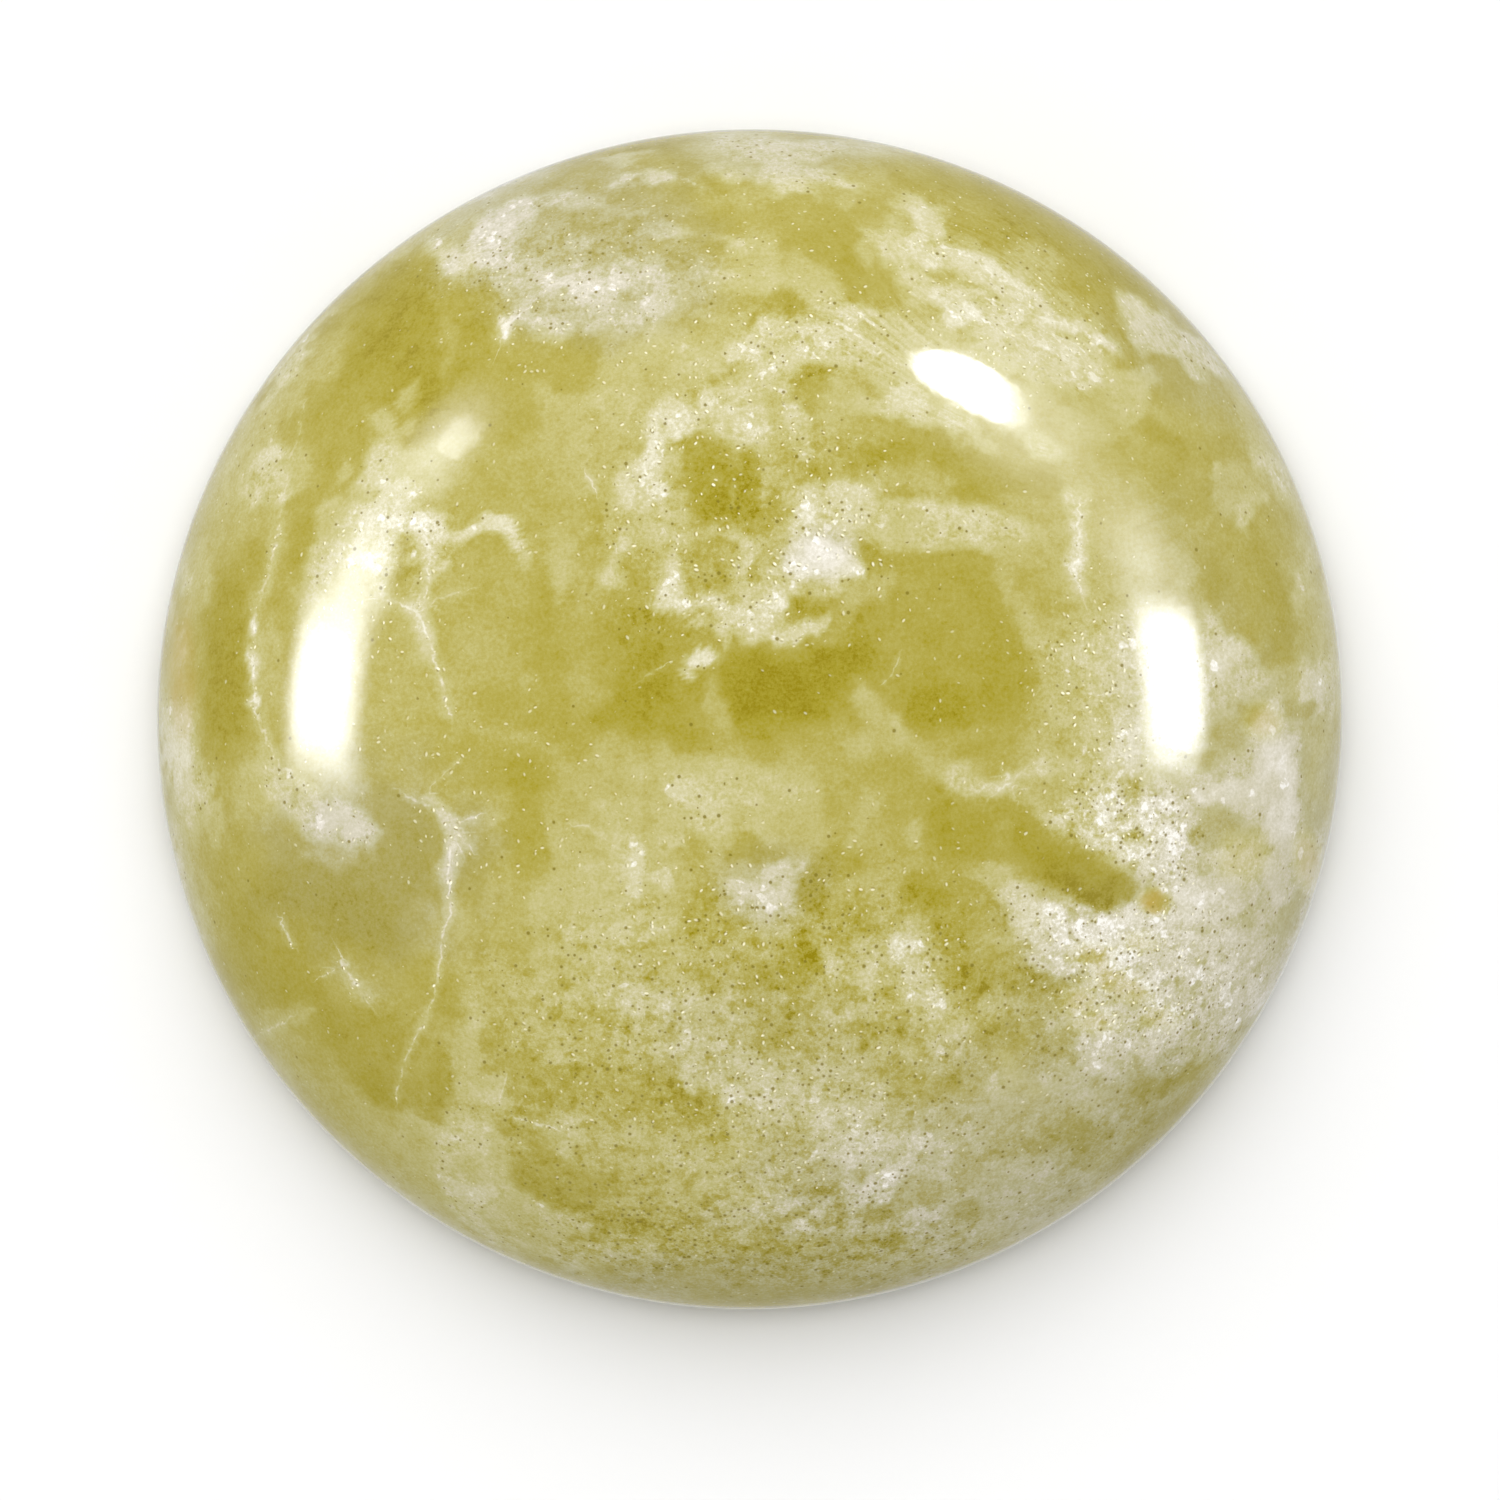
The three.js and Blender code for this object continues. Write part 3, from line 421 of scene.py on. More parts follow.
    (-7.3, -3.1, 0.3, 0.4, 0, 0.6), (1.0, -11.0, 0.5, 0.5, 0, 0.37), (3.6, -10.2, 0.6, 0.4, 0, 0.42),
    (7.3, 5.9, 0.8, 0.34, 0, 0.17), (8.4, 6.1, 0.5, 0.4, 0, 0.36), (-7.2, 8.5, 0.6, 0.5, 40, 0.14),
    (-2.3, 12.4, 0.6, 0.3, 0, 0.56), (-6.8, 11.9, 0.4, 0.34, 20, 0.78), (-9.4, 7.4, 0.34, 0.34, 0, 0.58),
    (13.3, -4.25, 0.28, 0.75, 15, 0.78),
]

# How soft the edges of fields and patches are, as a share of their size, and how much of them covers.
FIELD_EDGE, FIELD_HOLD = 0.6, 0.9
PATCH_EDGE, PATCH_HOLD = 0.46, 0.86

# Where the calcite breaks up into grains. The last value is how strongly.
GRAINY = [
    (0.0, -9.0, 6.5, 4.2, 0, 0.75), (0.5, -13.1, 5.5, 1.2, 0, 0.95), (2.2, -6.6, 4.0, 2.4, 0, 0.7),
    (9.6, -6.6, 3.2, 2.3, -20, 0.8), (9.6, -2.8, 2.0, 1.4, -20, 0.9), (6.4, 10.6, 3.2, 1.5, -35, 0.6),
    (-4.6, 11.4, 3.4, 1.3, 0, 0.55), (-0.4, 5.0, 3.2, 3.4, 0, 0.55), (2.2, 9.6, 2.6, 1.0, 0, 0.6),
    (8.8, 0.8, 1.6, 2.0, 0, 0.5), (8.0, -11.0, 3.0, 1.4, 30, 0.5), (-8.8, 4.5, 1.2, 1.0, 0, 0.6),
    (0.5, 0.8, 2.4, 1.1, 0, 0.12), (7.9, -3.7, 2.2, 0.6, -20, 0.12), (-1.0, 6.1, 0.9, 1.2, 0, 0.35),
    (1.9, 4.1, 0.8, 0.5, 0, 0.2), (0.6, -4.3, 0.6, 0.5, 0, 0.35),
]
GRAIN_ELSEWHERE = 0.20

# Where bright grains, which are painted glints with the painted shade of a scar beside each, show in the
# polish, and where white calcite flakes lie. The last value is how thickly they lie.
FLAKE_AND_PAINTED_GLINT_ZONES = [
    (-2.0, 10.8, 5.5, 2.0, 0, 0.42), (6.6, 10.4, 3.4, 1.8, -35, 0.48), (0.0, 5.6, 3.6, 3.8, 0, 0.62),
    (8.8, 0.8, 1.7, 2.6, 0, 0.66), (9.3, -2.6, 2.0, 1.3, 0, 0.7), (0.5, -7.5, 5.5, 4.5, 0, 0.42),
    (9.6, -6.4, 2.4, 2.3, 0, 0.75), (-6.0, -2.5, 2.6, 3.0, 0, 0.32), (-9.5, 3.6, 1.8, 2.4, 0, 0.42),
    (-10.2, -2.0, 1.6, 1.8, 0, 0.36), (0.6, 0.6, 1.9, 1.0, 0, 0.07), (7.9, -3.8, 1.9, 0.5, -20, 0.06),
    (0.0, -14.2, 7.0, 0.8, 0, 0.12),
]
FLAKE_AND_PAINTED_GLINT_ELSEWHERE = 0.09

# Where the stone is greyer than the rest, below 0, or stained ochre, above it. Some greyer zones along the
# rims and beside the right highlight are painted reflection and painted shade, as marked below.
WARM_AND_COOL = [
    (-4.4, 12.4, 3.2, 2.0, 0, -0.9), (-4.0, 10.8, 2.6, 1.2, 0, -0.8), (-9.6, -3.6, 2.6, 2.4, 0, -0.9),
    # The greyer zone at (11.0, 1.0), round the right highlight, is partly painted reflection of its glow.
    (11.0, 1.0, 1.6, 5.0, 0, -0.3), (12.8, -4.0, 2.4, 5.0, 0, -0.6), (10.0, -7.0, 3.4, 3.0, -20, -0.5),
    (5.5, -11.3, 5.2, 2.4, 12, -0.75), (0.8, -8.6, 3.6, 1.8, -20, -0.35), (0.6, -4.2, 1.4, 1.0, 0, -0.6),
    # The greyer zones along the upper right and top rims, (10.8, 9.2) and (0.3, 14.3), are partly painted
    # reflection; the one along the bottom rim, (1.0, -14.2), is partly painted shade.
    (1.8, 4.1, 0.9, 0.7, 0, -0.6), (10.8, 9.2, 2.0, 1.0, -45, -0.5), (1.0, -14.2, 5.5, 0.6, 0, -0.7),
    (0.3, 14.3, 3.5, 0.6, 0, -0.6), (9.7, -9.6, 1.6, 0.8, 40, -0.8), (10.3, -4.7, 0.36, 0.3, 0, 0.8),
    (9.9, -5.7, 0.5, 0.3, 0, 0.1), (8.7, -6.0, 0.6, 0.35, 0, 0.15), (9.4, -6.8, 0.8, 0.45, -20, 0.2),
    (8.4, -7.2, 0.6, 0.4, 0, 0.15), (8.9, -7.7, 0.7, 0.35, 0, 0.12), (10.4, -7.6, 0.5, 0.35, 0, 0.1),
    (14.2, -3.7, 0.35, 0.8, 15, 0.2), (13.0, -0.1, 0.45, 0.45, 0, 0.3), (12.5, -3.5, 0.7, 0.6, 0, 0.1),
    (-14.4, 1.3, 0.35, 1.5, 0, 0.4),
]
WARMTH_ELSEWHERE = 0.0

# Calcite threads: half width, strength from 0 to 1, and the points that each runs through.
THREADS = [
    # from the left cloud down into the clear green
    (0.055, 1.0, [(-9.4, 2.95), (-8.9, 2.9), (-8.45, 2.7), (-8.2, 2.1), (-8.0, 1.5), (-7.85, 1.0),
                  (-7.75, 0.5), (-7.65, 0.15)]),
    (0.040, 0.8, [(-8.2, 4.6), (-8.15, 4.0), (-8.15, 3.4), (-8.3, 2.8)]),
    (0.040, 0.5, [(-8.0, 3.0), (-7.6, 3.1), (-7.2, 3.2)]),
    # down the left rim
    (0.035, 0.5, [(-11.3, 7.9), (-11.5, 7.0), (-11.8, 5.9), (-11.9, 5.0)]),
    (0.060, 0.9, [(-11.9, 5.0), (-12.0, 4.5), (-12.3, 3.5), (-12.6, 2.7), (-12.6, 1.9), (-12.6, 1.3),
                  (-12.6, 0.8), (-12.6, 0.4), (-12.4, -0.2), (-12.1, -0.9)]),
    # star in the lower left, and the dotted thread below it
    (0.050, 1.0, [(-8.7, -2.0), (-8.0, -2.3), (-7.65, -2.75), (-7.6, -3.5), (-7.65, -4.1), (-7.6, -5.0)]),
    (0.040, 0.8, [(-7.6, -2.8), (-7.2, -2.6), (-6.95, -2.5)]),
    (0.040, 0.8, [(-7.6, -2.8), (-7.3, -3.1), (-7.15, -3.25)]),
    (0.030, 0.6, [(-8.0, -1.7), (-7.7, -1.4), (-7.4, -1.15)]),
    (0.040, 0.95, [(-7.6, -5.0), (-7.85, -5.8), (-7.9, -6.6), (-8.05, -7.2), (-8.35, -7.8), (-8.6, -8.3),
                   (-8.85, -8.9), (-8.95, -9.6)]),
    # streaks on the lower left shoulder
    (0.075, 1.0, [(-10.3, -6.2), (-10.05, -6.7), (-9.75, -7.1)]),
    (0.030, 0.7, [(-10.9, -6.6), (-10.5, -6.4)]),
    (0.040, 0.9, [(-11.85, -5.2), (-11.6, -5.7)]),
    (0.045, 0.8, [(-12.4, -8.0), (-12.1, -7.9), (-11.8, -7.7)]),
    (0.045, 0.9, [(-5.9, -10.2), (-5.5, -10.3), (-5.1, -10.4)]),
    (0.030, 0.6, [(-6.15, -9.0), (-6.3, -9.6)]),
    # right of the middle
    (0.060, 0.9, [(8.35, 5.0), (8.35, 4.3), (8.25, 3.8), (8.4, 3.2)]),
    (0.030, 0.6, [(3.75, 1.5), (3.6, 1.1), (3.4, 0.9)]),
    (0.030, 0.6, [(-4.4, -2.75), (-4.1, -2.8), (-3.8, -3.0)]),
    (0.050, 0.8, [(6.3, -1.9), (6.6, -1.65), (6.85, -1.45)]),
    (0.040, 0.8, [(6.45, -1.35), (6.6, -1.6), (6.7, -1.95)]),
    (0.035, 0.8, [(8.7, -4.95), (9.15, -5.2), (9.6, -5.65)]),
    (0.040, 0.7, [(-2.2, 1.3), (-2.7, 1.0)]),
    # at the top
    (0.040, 0.8, [(-1.5, 13.6), (-1.2, 13.45)]),
    (0.035, 0.8, [(-4.1, 6.1), (-3.95, 5.8)]),
    (0.035, 0.7, [(3.15, 6.1), (3.25, 5.9)]),
    (0.080, 1.0, [(-5.9, 10.2), (-6.15, 10.0), (-6.3, 9.6)]),
]

# Where the grain is drawn out into streaks: a zone like the others, but without a value.
STREAKY_CLOUD = (6.8, 9.6, 5.0, 2.4, -35)


def noise(points, size, seed):
    """Smooth random waves about size across, roughly from -1 to 1.

    Each corner of a lattice holds a random slope, and the value at a point blends the slopes' heights
    from the eight corners round it.
    """
    count = 256
    full_swing = 1.7
    rng = np.random.default_rng(seed)
    order = rng.permutation(count)
    slopes = rng.normal(size=(count, 3))
    slopes /= np.linalg.norm(slopes, axis=1)[:, None]
    scaled = points / size
    cell = np.floor(scaled).astype(int)
    inside = scaled - cell
    blend = inside**3 * (inside * (inside * 6 - 15) + 10)
    total = np.zeros(len(points))
    for corner in product((0, 1), repeat=3):
        corner = np.array(corner)
        at = cell + corner
        pick = np.zeros(len(points), dtype=int)
        for axis in range(3):
            pick = order[(pick + at[:, axis]) % count]
        height = ((inside - corner) * slopes[pick]).sum(axis=1)
        total += height * np.prod(np.where(corner, blend, 1 - blend), axis=1)
    return total * full_swing


def rough_noise(points, size, octaves, seed):
    """Noise summed over octaves, each half the size and about half the height of the last."""
    return sum(noise(points, size / 2**k, seed + k) * 0.55**k for k in range(octaves))


def jostle(points, size, octaves, seeds):
    """Rough noise for each of the three directions, each with its own seed."""
    return np.stack([rough_noise(points, size, octaves, seed) for seed in seeds], axis=1)


def warped(points):
    """The points pushed about by wide and by fine noise, which makes every edge of the pattern ragged."""
    wide = 0.22 * jostle(points, size=1.5, octaves=3, seeds=(100, 110, 120))
    fine = 0.09 * jostle(points, size=0.4, octaves=2, seeds=(200, 210, 220))
    return points + wide + fine


def as_seen(points):
    """Plan coordinates as the camera sees them on the plane of the girdle."""
    return points[:, :2] / (1 - (points[:, 2:] - CROWN_FOOT) / CAMERA_ABOVE_GIRDLE)


def crown_height(across):
    """Height of the crown at a distance from the middle: foot + rise * (1 - (r / radius) ^ power) ^ 0.5."""
    return CROWN_FOOT + CROWN_RISE * np.sqrt(np.clip(1 - (across / RADIUS) ** CROWN_POWER, 0, 1))


def coverage(seen, heights, zone, edge, fray=0.0):
    """How much an elliptical zone covers each point: 1 inside, 0 outside, smooth over its edge.

    A zone reaches about as deep into the stone as it is long. Fray moves its edge in or out, as a share of
    its size.
    """
    x, y, length, width, turn = zone[:5]
    c, s = np.cos(np.radians(turn)), np.sin(np.radians(turn))
    along = (seen[:, 0] - x) * c + (seen[:, 1] - y) * s
    aside = (seen[:, 1] - y) * c - (seen[:, 0] - x) * s
    deep = (heights - crown_height(np.hypot(x, y))) / (2.0 * max(length, width) + 1.0)
    far = np.sqrt((along / length) ** 2 + (aside / width) ** 2 + deep**4) + fray
    t = np.clip((1 + edge - far) / (2 * edge), 0, 1)
    return t * t * (3 - 2 * t)


def calcite_share(points):
    """Tone of the stone, from 0 for clear olive serpentine to 1 for white calcite.

    It starts as seeded clouds round a middling tone. Each zone then draws it towards its own tone by as much
    as it covers: tone + cover * (zone's tone - tone). Faint clouds lie over the zones, stronger where the
    stone is pale.
    """
    middling = 0.40
    pushed = warped(points)
    seen = as_seen(pushed)
    heights = pushed[:, 2]
    share = middling + 0.42 * rough_noise(points, size=5.0, octaves=3, seed=7)
    fray = 0.16 * rough_noise(points, size=0.9, octaves=3, seed=50)
    for zones, edge, hold in ((FIELDS, FIELD_EDGE, FIELD_HOLD), (PATCHES, PATCH_EDGE, PATCH_HOLD)):
        for zone in zones:
            cover = hold * coverage(seen, heights, zone, edge, fray)
            share += cover * (zone[5] - share)
    pale = np.clip((share - 0.2) / 0.3, 0, 1)
    return share + (0.02 + 0.05 * pale) * rough_noise(points, size=1.0, octaves=4, seed=60)


def laid_zones(points, elsewhere, zones):
    """A value that starts the same all over and takes each zone's own last number inside it."""
    seen = as_seen(points)
    value = np.full(len(points), elsewhere)
    fray = 0.25 * rough_noise(points, size=1.2, octaves=3, seed=80)
    for zone in zones:
        cover = coverage(seen, points[:, 2], zone, edge=0.5, fray=fray)
        value += cover * (zone[5] - value)
    return value


def thread_distance(points):
    """How far each point stands to one side of the nearest thread, and that thread's strength.

    The distance is in the thread's half widths. The strength is whole near the thread and gone further out,
    and a thread ends at the foot of the crown.
    """
    whole = 5.0
    gone = 10.0
    out_of_reach = 40.0
    waver = 0.05 * jostle(points, size=0.7, octaves=2, seeds=(300, 301, 302))
    seen = as_seen(points + waver)
    nearest = np.full(len(points), out_of_reach)
    side = np.full(len(points), out_of_reach)
    strength = np.zeros(len(points))
    for half_width, bright, line in THREADS:
        for (x0, y0), (x1, y1) in zip(line, line[1:]):
            run = np.array([x1 - x0, y1 - y0])
            from_start = seen - [x0, y0]
            along = np.clip(from_start @ run / (run @ run), 0, 1)
            gap = from_start - along[:, None] * run
            far = np.hypot(*gap.T) / half_width
            closer = far < nearest
            nearest[closer] = far[closer]
            left = np.sign(run[0] * from_start[:, 1] - run[1] * from_start[:, 0])
            side[closer] = (far * left)[closer]
            strength[closer] = bright
    strength *= points[:, 2] > CROWN_FOOT
    return side, strength * np.clip((gone - nearest) / (gone - whole), 0, 1)


def streak_share(points):
    """How far the grain is drawn out into streaks: 1 in the upper right cloud, 0 away from it."""
    return coverage(as_seen(points), points[:, 2], STREAKY_CLOUD, edge=0.5)


def disc_grid(steps):
    """A square grid bent into a disc, so that it has no pole.

    Each square ring of the grid becomes a circle: its distance from the middle is the larger of the two
    grid coordinates, and its angle runs evenly along each side of the square. Returns distance (0 to 1)
    and angle for each grid point, row by row.
    """
    line = np.linspace(-1, 1, steps + 1)
    across, up = np.meshgrid(line, line)
    wide = np.abs(across) >= np.abs(up)
    reach = np.where(wide, across, up)
    safe = np.where(reach == 0, 1, reach)
    turn = np.where(wide, np.pi / 4 * up / safe, np.pi / 2 - np.pi / 4 * across / safe)
    angle = np.where(reach < 0, turn + np.pi, turn)
    return np.abs(reach).ravel(), angle.ravel()


def grid_faces(steps, first):
    """The squares of a grid of steps by steps, anticlockwise, as point numbers from first on."""
    row, column = np.meshgrid(np.arange(steps), np.arange(steps), indexing="ij")
    low = (row * (steps + 1) + column).ravel() + first
    return np.column_stack([low, low + 1, low + steps + 2, low + steps + 1])


def grid_rim(steps, first):
    """The point numbers round the edge of that grid, anticlockwise from its lower left corner."""
    side = np.arange(steps)
    wide = steps + 1
    bottom = side
    right = side * wide + steps
    top = steps * wide + steps - side
    left = (steps - side) * wide
    return np.concatenate([bottom, right, top, left]) + first


def band_faces(lower, upper):
    """The squares between two rings of as many points, facing outwards."""
    return np.column_stack([lower, np.roll(lower, -1), np.roll(upper, -1), upper])


def widening_faces(coarse, fine):
    """The triangles between a ring and one with four times as many points, facing outwards."""
    fans = fine.reshape(-1, 4)
    after = np.column_stack([fans, np.roll(fans[:, 0], -1)])
    tips = [np.column_stack([coarse, after[:, k + 1], after[:, k]]) for k in (0, 1)]
    tips += [np.column_stack([np.roll(coarse, -1), after[:, k + 1], after[:, k]]) for k in (2, 3)]
    return np.concatenate(tips + [np.column_stack([coarse, np.roll(coarse, -1), after[:, 2]])])


def eased_corner(start, corner, end):
    """Points from start to end that leave and arrive along the two edges of a corner."""
    t = np.linspace(0, 1, EASE_STEPS + 1)[:, None]
    return (1 - t) ** 2 * start + 2 * t * (1 - t) * corner + t**2 * end


def rim_profile():
    """Distance from the axis and height, from the edge of the flat back up to the top of the girdle."""
    slant = BEVEL_EASE * np.sqrt(0.5)
    back = np.array([RADIUS - BEVEL, 0.0])
    girdle = np.array([RADIUS, BEVEL])
    lower = eased_corner(back - [BEVEL_EASE, 0], back, back + slant)
    upper = eased_corner(girdle - slant, girdle, girdle + [0, BEVEL_EASE])
    return np.concatenate([lower, upper])


def crown_profile(share):
    """Distance from the axis and height on the crown, at a share of the way down it from the top."""
    samples = 4001
    turn = np.linspace(0, np.pi / 2, samples)
    across = RADIUS * np.sin(turn) ** (2 / CROWN_POWER)
    height = CROWN_FOOT + CROWN_RISE * np.cos(turn)
    walked = np.concatenate([[0], np.cumsum(np.hypot(np.diff(across), np.diff(height)))])
    walked /= walked[-1]
    return np.interp(share, walked, across), np.interp(share, walked, height)


def placed(across, height, angle):
    """Points at a distance, height and angle, with the outline's waves in proportion to the distance.

    A wave adds size * cos(count * (angle - peak)) to the radius.
    """
    wave = sum(size * np.cos(count * (angle - np.radians(peak))) for count, size, peak in OUTLINE_WAVES)
    reach = across * (1 + wave / RADIUS)
    heights = np.broadcast_to(height, reach.shape)
    return np.column_stack([reach * np.cos(angle), reach * np.sin(angle), heights])


def stone_skin():
    """Points and faces of the stone: the crown and the back as two bent grids, joined by rings up the rim."""
    share, angle = disc_grid(CROWN_STEPS)
    across, height = crown_profile(share)
    crown = placed(across, height, angle)
    crown_rim = grid_rim(CROWN_STEPS, 0)
    rim_angle = angle[crown_rim]

    rings = [placed(np.full(len(rim_angle), r), z, rim_angle) for r, z in rim_profile()]
    first_ring = len(crown)
    ring_points = [np.arange(len(rim_angle)) + first_ring + k * len(rim_angle) for k in range(len(rings))]

    share, angle = disc_grid(BACK_STEPS)
    back = placed((RADIUS - BEVEL - BACK_INSET) * share, 0.0, angle)
    first_back = first_ring + len(rings) * len(rim_angle)
    back_rim = grid_rim(BACK_STEPS, first_back)

    points = np.concatenate([crown, *rings, back])
    squares = np.concatenate([
        grid_faces(CROWN_STEPS, 0),
        *(band_faces(low, high) for low, high in zip(ring_points, ring_points[1:])),
        band_faces(ring_points[-1], crown_rim),
        grid_faces(BACK_STEPS, first_back)[:, ::-1],
    ])
    fans = widening_faces(back_rim, ring_points[0])
    return points, squares.tolist() + fans.tolist()


def stone_mesh():
    """The stone's mesh, with the values of the pattern held on its points."""
    points, faces = stone_skin()
    mesh = bpy.data.meshes.new("polished_stone")
    mesh.from_pydata(points * MM, [], faces)
    mesh.shade_smooth()
    side, strength = thread_distance(points)
    marks = {
        "calcite": calcite_share(points),
        "grain": laid_zones(points, GRAIN_ELSEWHERE, GRAINY),
        "flakes_and_painted_glints": laid_zones(points, FLAKE_AND_PAINTED_GLINT_ELSEWHERE, FLAKE_AND_PAINTED_GLINT_ZONES),
        "warmth": laid_zones(points, WARMTH_ELSEWHERE, WARM_AND_COOL),
        "streaks": streak_share(points),
        "thread_side": side,
        "thread_strength": strength,
    }
    for name, values in marks.items():
        mesh.attributes.new(name, "FLOAT", "POINT").data.foreach_set("value", values.astype(np.float32))
    mesh.update()
    return mesh


def linear(hex_colour):
    """An sRGB hex colour as linear red, green, blue and alpha."""
    channels = np.array([int(hex_colour[k:k + 2], 16) for k in (1, 3, 5)]) / 255
    return (*np.where(channels <= 0.04045, channels / 12.92, ((channels + 0.055) / 1.055) ** 2.4), 1.0)


def add(tree, kind, *values, links=None, **settings):
    """A new node of a kind, such as "Mapping", or "Math ADD" with its operation, with its settings.

    The values go to its inputs in use, in their order, and links to the inputs that they name. A socket is
    linked, a node is linked by its first output in use, and anything else is set.
    """
    kind, _, operation = kind.partition(" ")
    made = tree.nodes.new("ShaderNode" + kind)
    if operation:
        made.operation = operation
    for name, value in settings.items():
        setattr(made, name, value)
    in_order = zip([socket for socket in made.inputs if socket.enabled], values)
    by_name = [(made.inputs[name], value) for name, value in (links or {}).items()]
    for socket, value in [*in_order, *by_name]:
        if isinstance(value, bpy.types.Node):
            value = next(output for output in value.outputs if output.enabled)
        if isinstance(value, bpy.types.NodeSocket):
            tree.links.new(value, socket)
        else:
            socket.default_value = value
    return made


def new_material(name):
    """An empty material and its tree."""
    material = bpy.data.materials.new(name)
    material.use_nodes = True
    tree = material.node_tree
    tree.nodes.clear()
    return material, tree


# From clear olive serpentine to white calcite, where the stone is golden and where it is greyer.
GOLDEN_TONES = [
    (0.00, "#8a7b08"),
    (0.10, "#9b8f27"),
    (0.30, "#a99f4f"),
    (0.50, "#b8b176"),
    (0.70, "#c8c29c"),
    (0.90, "#dfdbc8"),
    (1.00, "#f1efe6"),
]
GREY_TONES = [
    (0.00, "#887b1c"),
    (0.10, "#968c3d"),
    (0.30, "#a39b62"),
    (0.50, "#b2ad8a"),
    (0.70, "#c5bfac"),
    (0.90, "#dcd6cc"),
    (1.00, "#eeebe5"),
]
OCHRE = "#b39a3c"
# The brown of the stone's specks, which also paints the shade in pits and beside the glints, and the cream of
# the painted glints.
SPECK_BROWN_AND_PAINTED_SHADE = "#7b6d1c"
PAINTED_GLINT_CREAM = "#fbf7dc"

MARBLE_IOR = 1.56  # between serpentine and calcite
POLISHED_ROUGHNESS = 0.06
GROUND_ROUGHNESS = 0.42
GROUND_UP_TO = 0.45  # the height that the ground bevel reaches, and where the polish is whole
POLISHED_FROM = 0.62
RIPPLE_DEPTH = 0.0014

# How far each marking moves the tone.
MOTTLING = 0.85
BLOTCHES = -0.20
FIBRES = 0.13
FLAKES = 0.20
THREAD_BAND = 0.17

# How much of the colour under them the brown specks, with their painted pit and scar shade, and the painted
# glints hide.
SPECK_AND_SHADE_COVER = 0.85
PAINTED_GLINT_COVER = 0.9

SMOOTH = {"interpolation_type": "SMOOTHSTEP"}  # a range that eases in and out


def lay_stops(ramp, stops):
    """Lays colours along a ramp, each at its place from 0 to 1."""
    laid = ramp.color_ramp.elements
    while len(laid) < len(stops):
        laid.new(0.5)
    for stop, (place, colour) in zip(laid, stops):
        stop.position = place
        stop.color = colour


def mottling(tree, place, size, detail=2.0, roughness=0.5):
    """Random mottling with blotches about size across, in mm, centred on 0."""
    cloud = add(tree, "TexNoise", place, 1 / (size * MM), detail, roughness)
    return add(tree, "Math SUBTRACT", cloud, 0.5)


def specks(tree, place, spacing, radius, chance, edge=0.5):
    """1 on small specks, one in each cell of the given spacing in mm that chance picks, and 0 elsewhere.

    A speck's radius is from a half to one and a half times the one given. Edge is the share of it over which
    the speck fades.
    """
    cells = add(tree, "TexVoronoi", place, 1 / (spacing * MM))
    lot = add(tree, "SeparateXYZ", cells.outputs["Color"]).outputs
    reach = add(tree, "Math MULTIPLY_ADD", lot["Y"], radius / spacing, 0.5 * radius / spacing)
    inner = add(tree, "Math MULTIPLY", reach, 1 - edge)
    inside = add(tree, "MapRange", cells.outputs["Distance"], reach, inner, **SMOOTH)
    picked = add(tree, "Math LESS_THAN", lot["X"], chance)
    return add(tree, "Math MULTIPLY", inside, picked)


def painted_glints_and_scar_shade(tree, place, chance):
    """1 on painted glints, small bright grains of painted highlight, and 1 on the painted shade of the dark
    scar beside each of them. They lie in random directions.

    A grain is 0.05 to 0.16 mm long, 1.8 times as long as it is wide. Where chance is high, the grains are
    more and clearer.
    """
    spacing = 0.15 * MM
    radius = 0.030 * MM
    scar_shade_gap = 0.046 * MM
    stretch = 1.8
    cells = add(tree, "TexVoronoi", place, 1 / spacing)
    lot = add(tree, "SeparateXYZ", cells.outputs["Color"]).outputs
    margin = add(tree, "Math SUBTRACT", chance, lot["X"])
    clearness = add(tree, "Math MULTIPLY_ADD", margin, 1.3, 0.3, use_clamp=True)
    picked = add(tree, "Math MULTIPLY", add(tree, "Math LESS_THAN", lot["X"], chance), clearness)
    reach = add(tree, "Math MULTIPLY_ADD", lot["Y"], radius, 0.5 * radius)
    faded = add(tree, "Math MULTIPLY", reach, 0.4)
    from_middle = add(tree, "VectorMath SUBTRACT", place, cells.outputs["Position"])
    turn = add(tree, "Math MULTIPLY", lot["Z"], np.pi)
    lying = add(tree, "VectorRotate", from_middle, (0.0, 0.0, 0.0), turn, rotation_type="Z_AXIS")
    found = []
    for aside in (0.0, scar_shade_gap):
        moved = add(tree, "VectorMath ADD", lying, (0.0, aside, 0.0))
        shrunk = add(tree, "VectorMath MULTIPLY", moved, (1 / stretch, 1.0, 1.0))
        off = add(tree, "VectorMath LENGTH", shrunk)
        inside = add(tree, "MapRange", off, reach, faded, **SMOOTH)
        found.append(add(tree, "Math MULTIPLY", inside, picked))
    return found


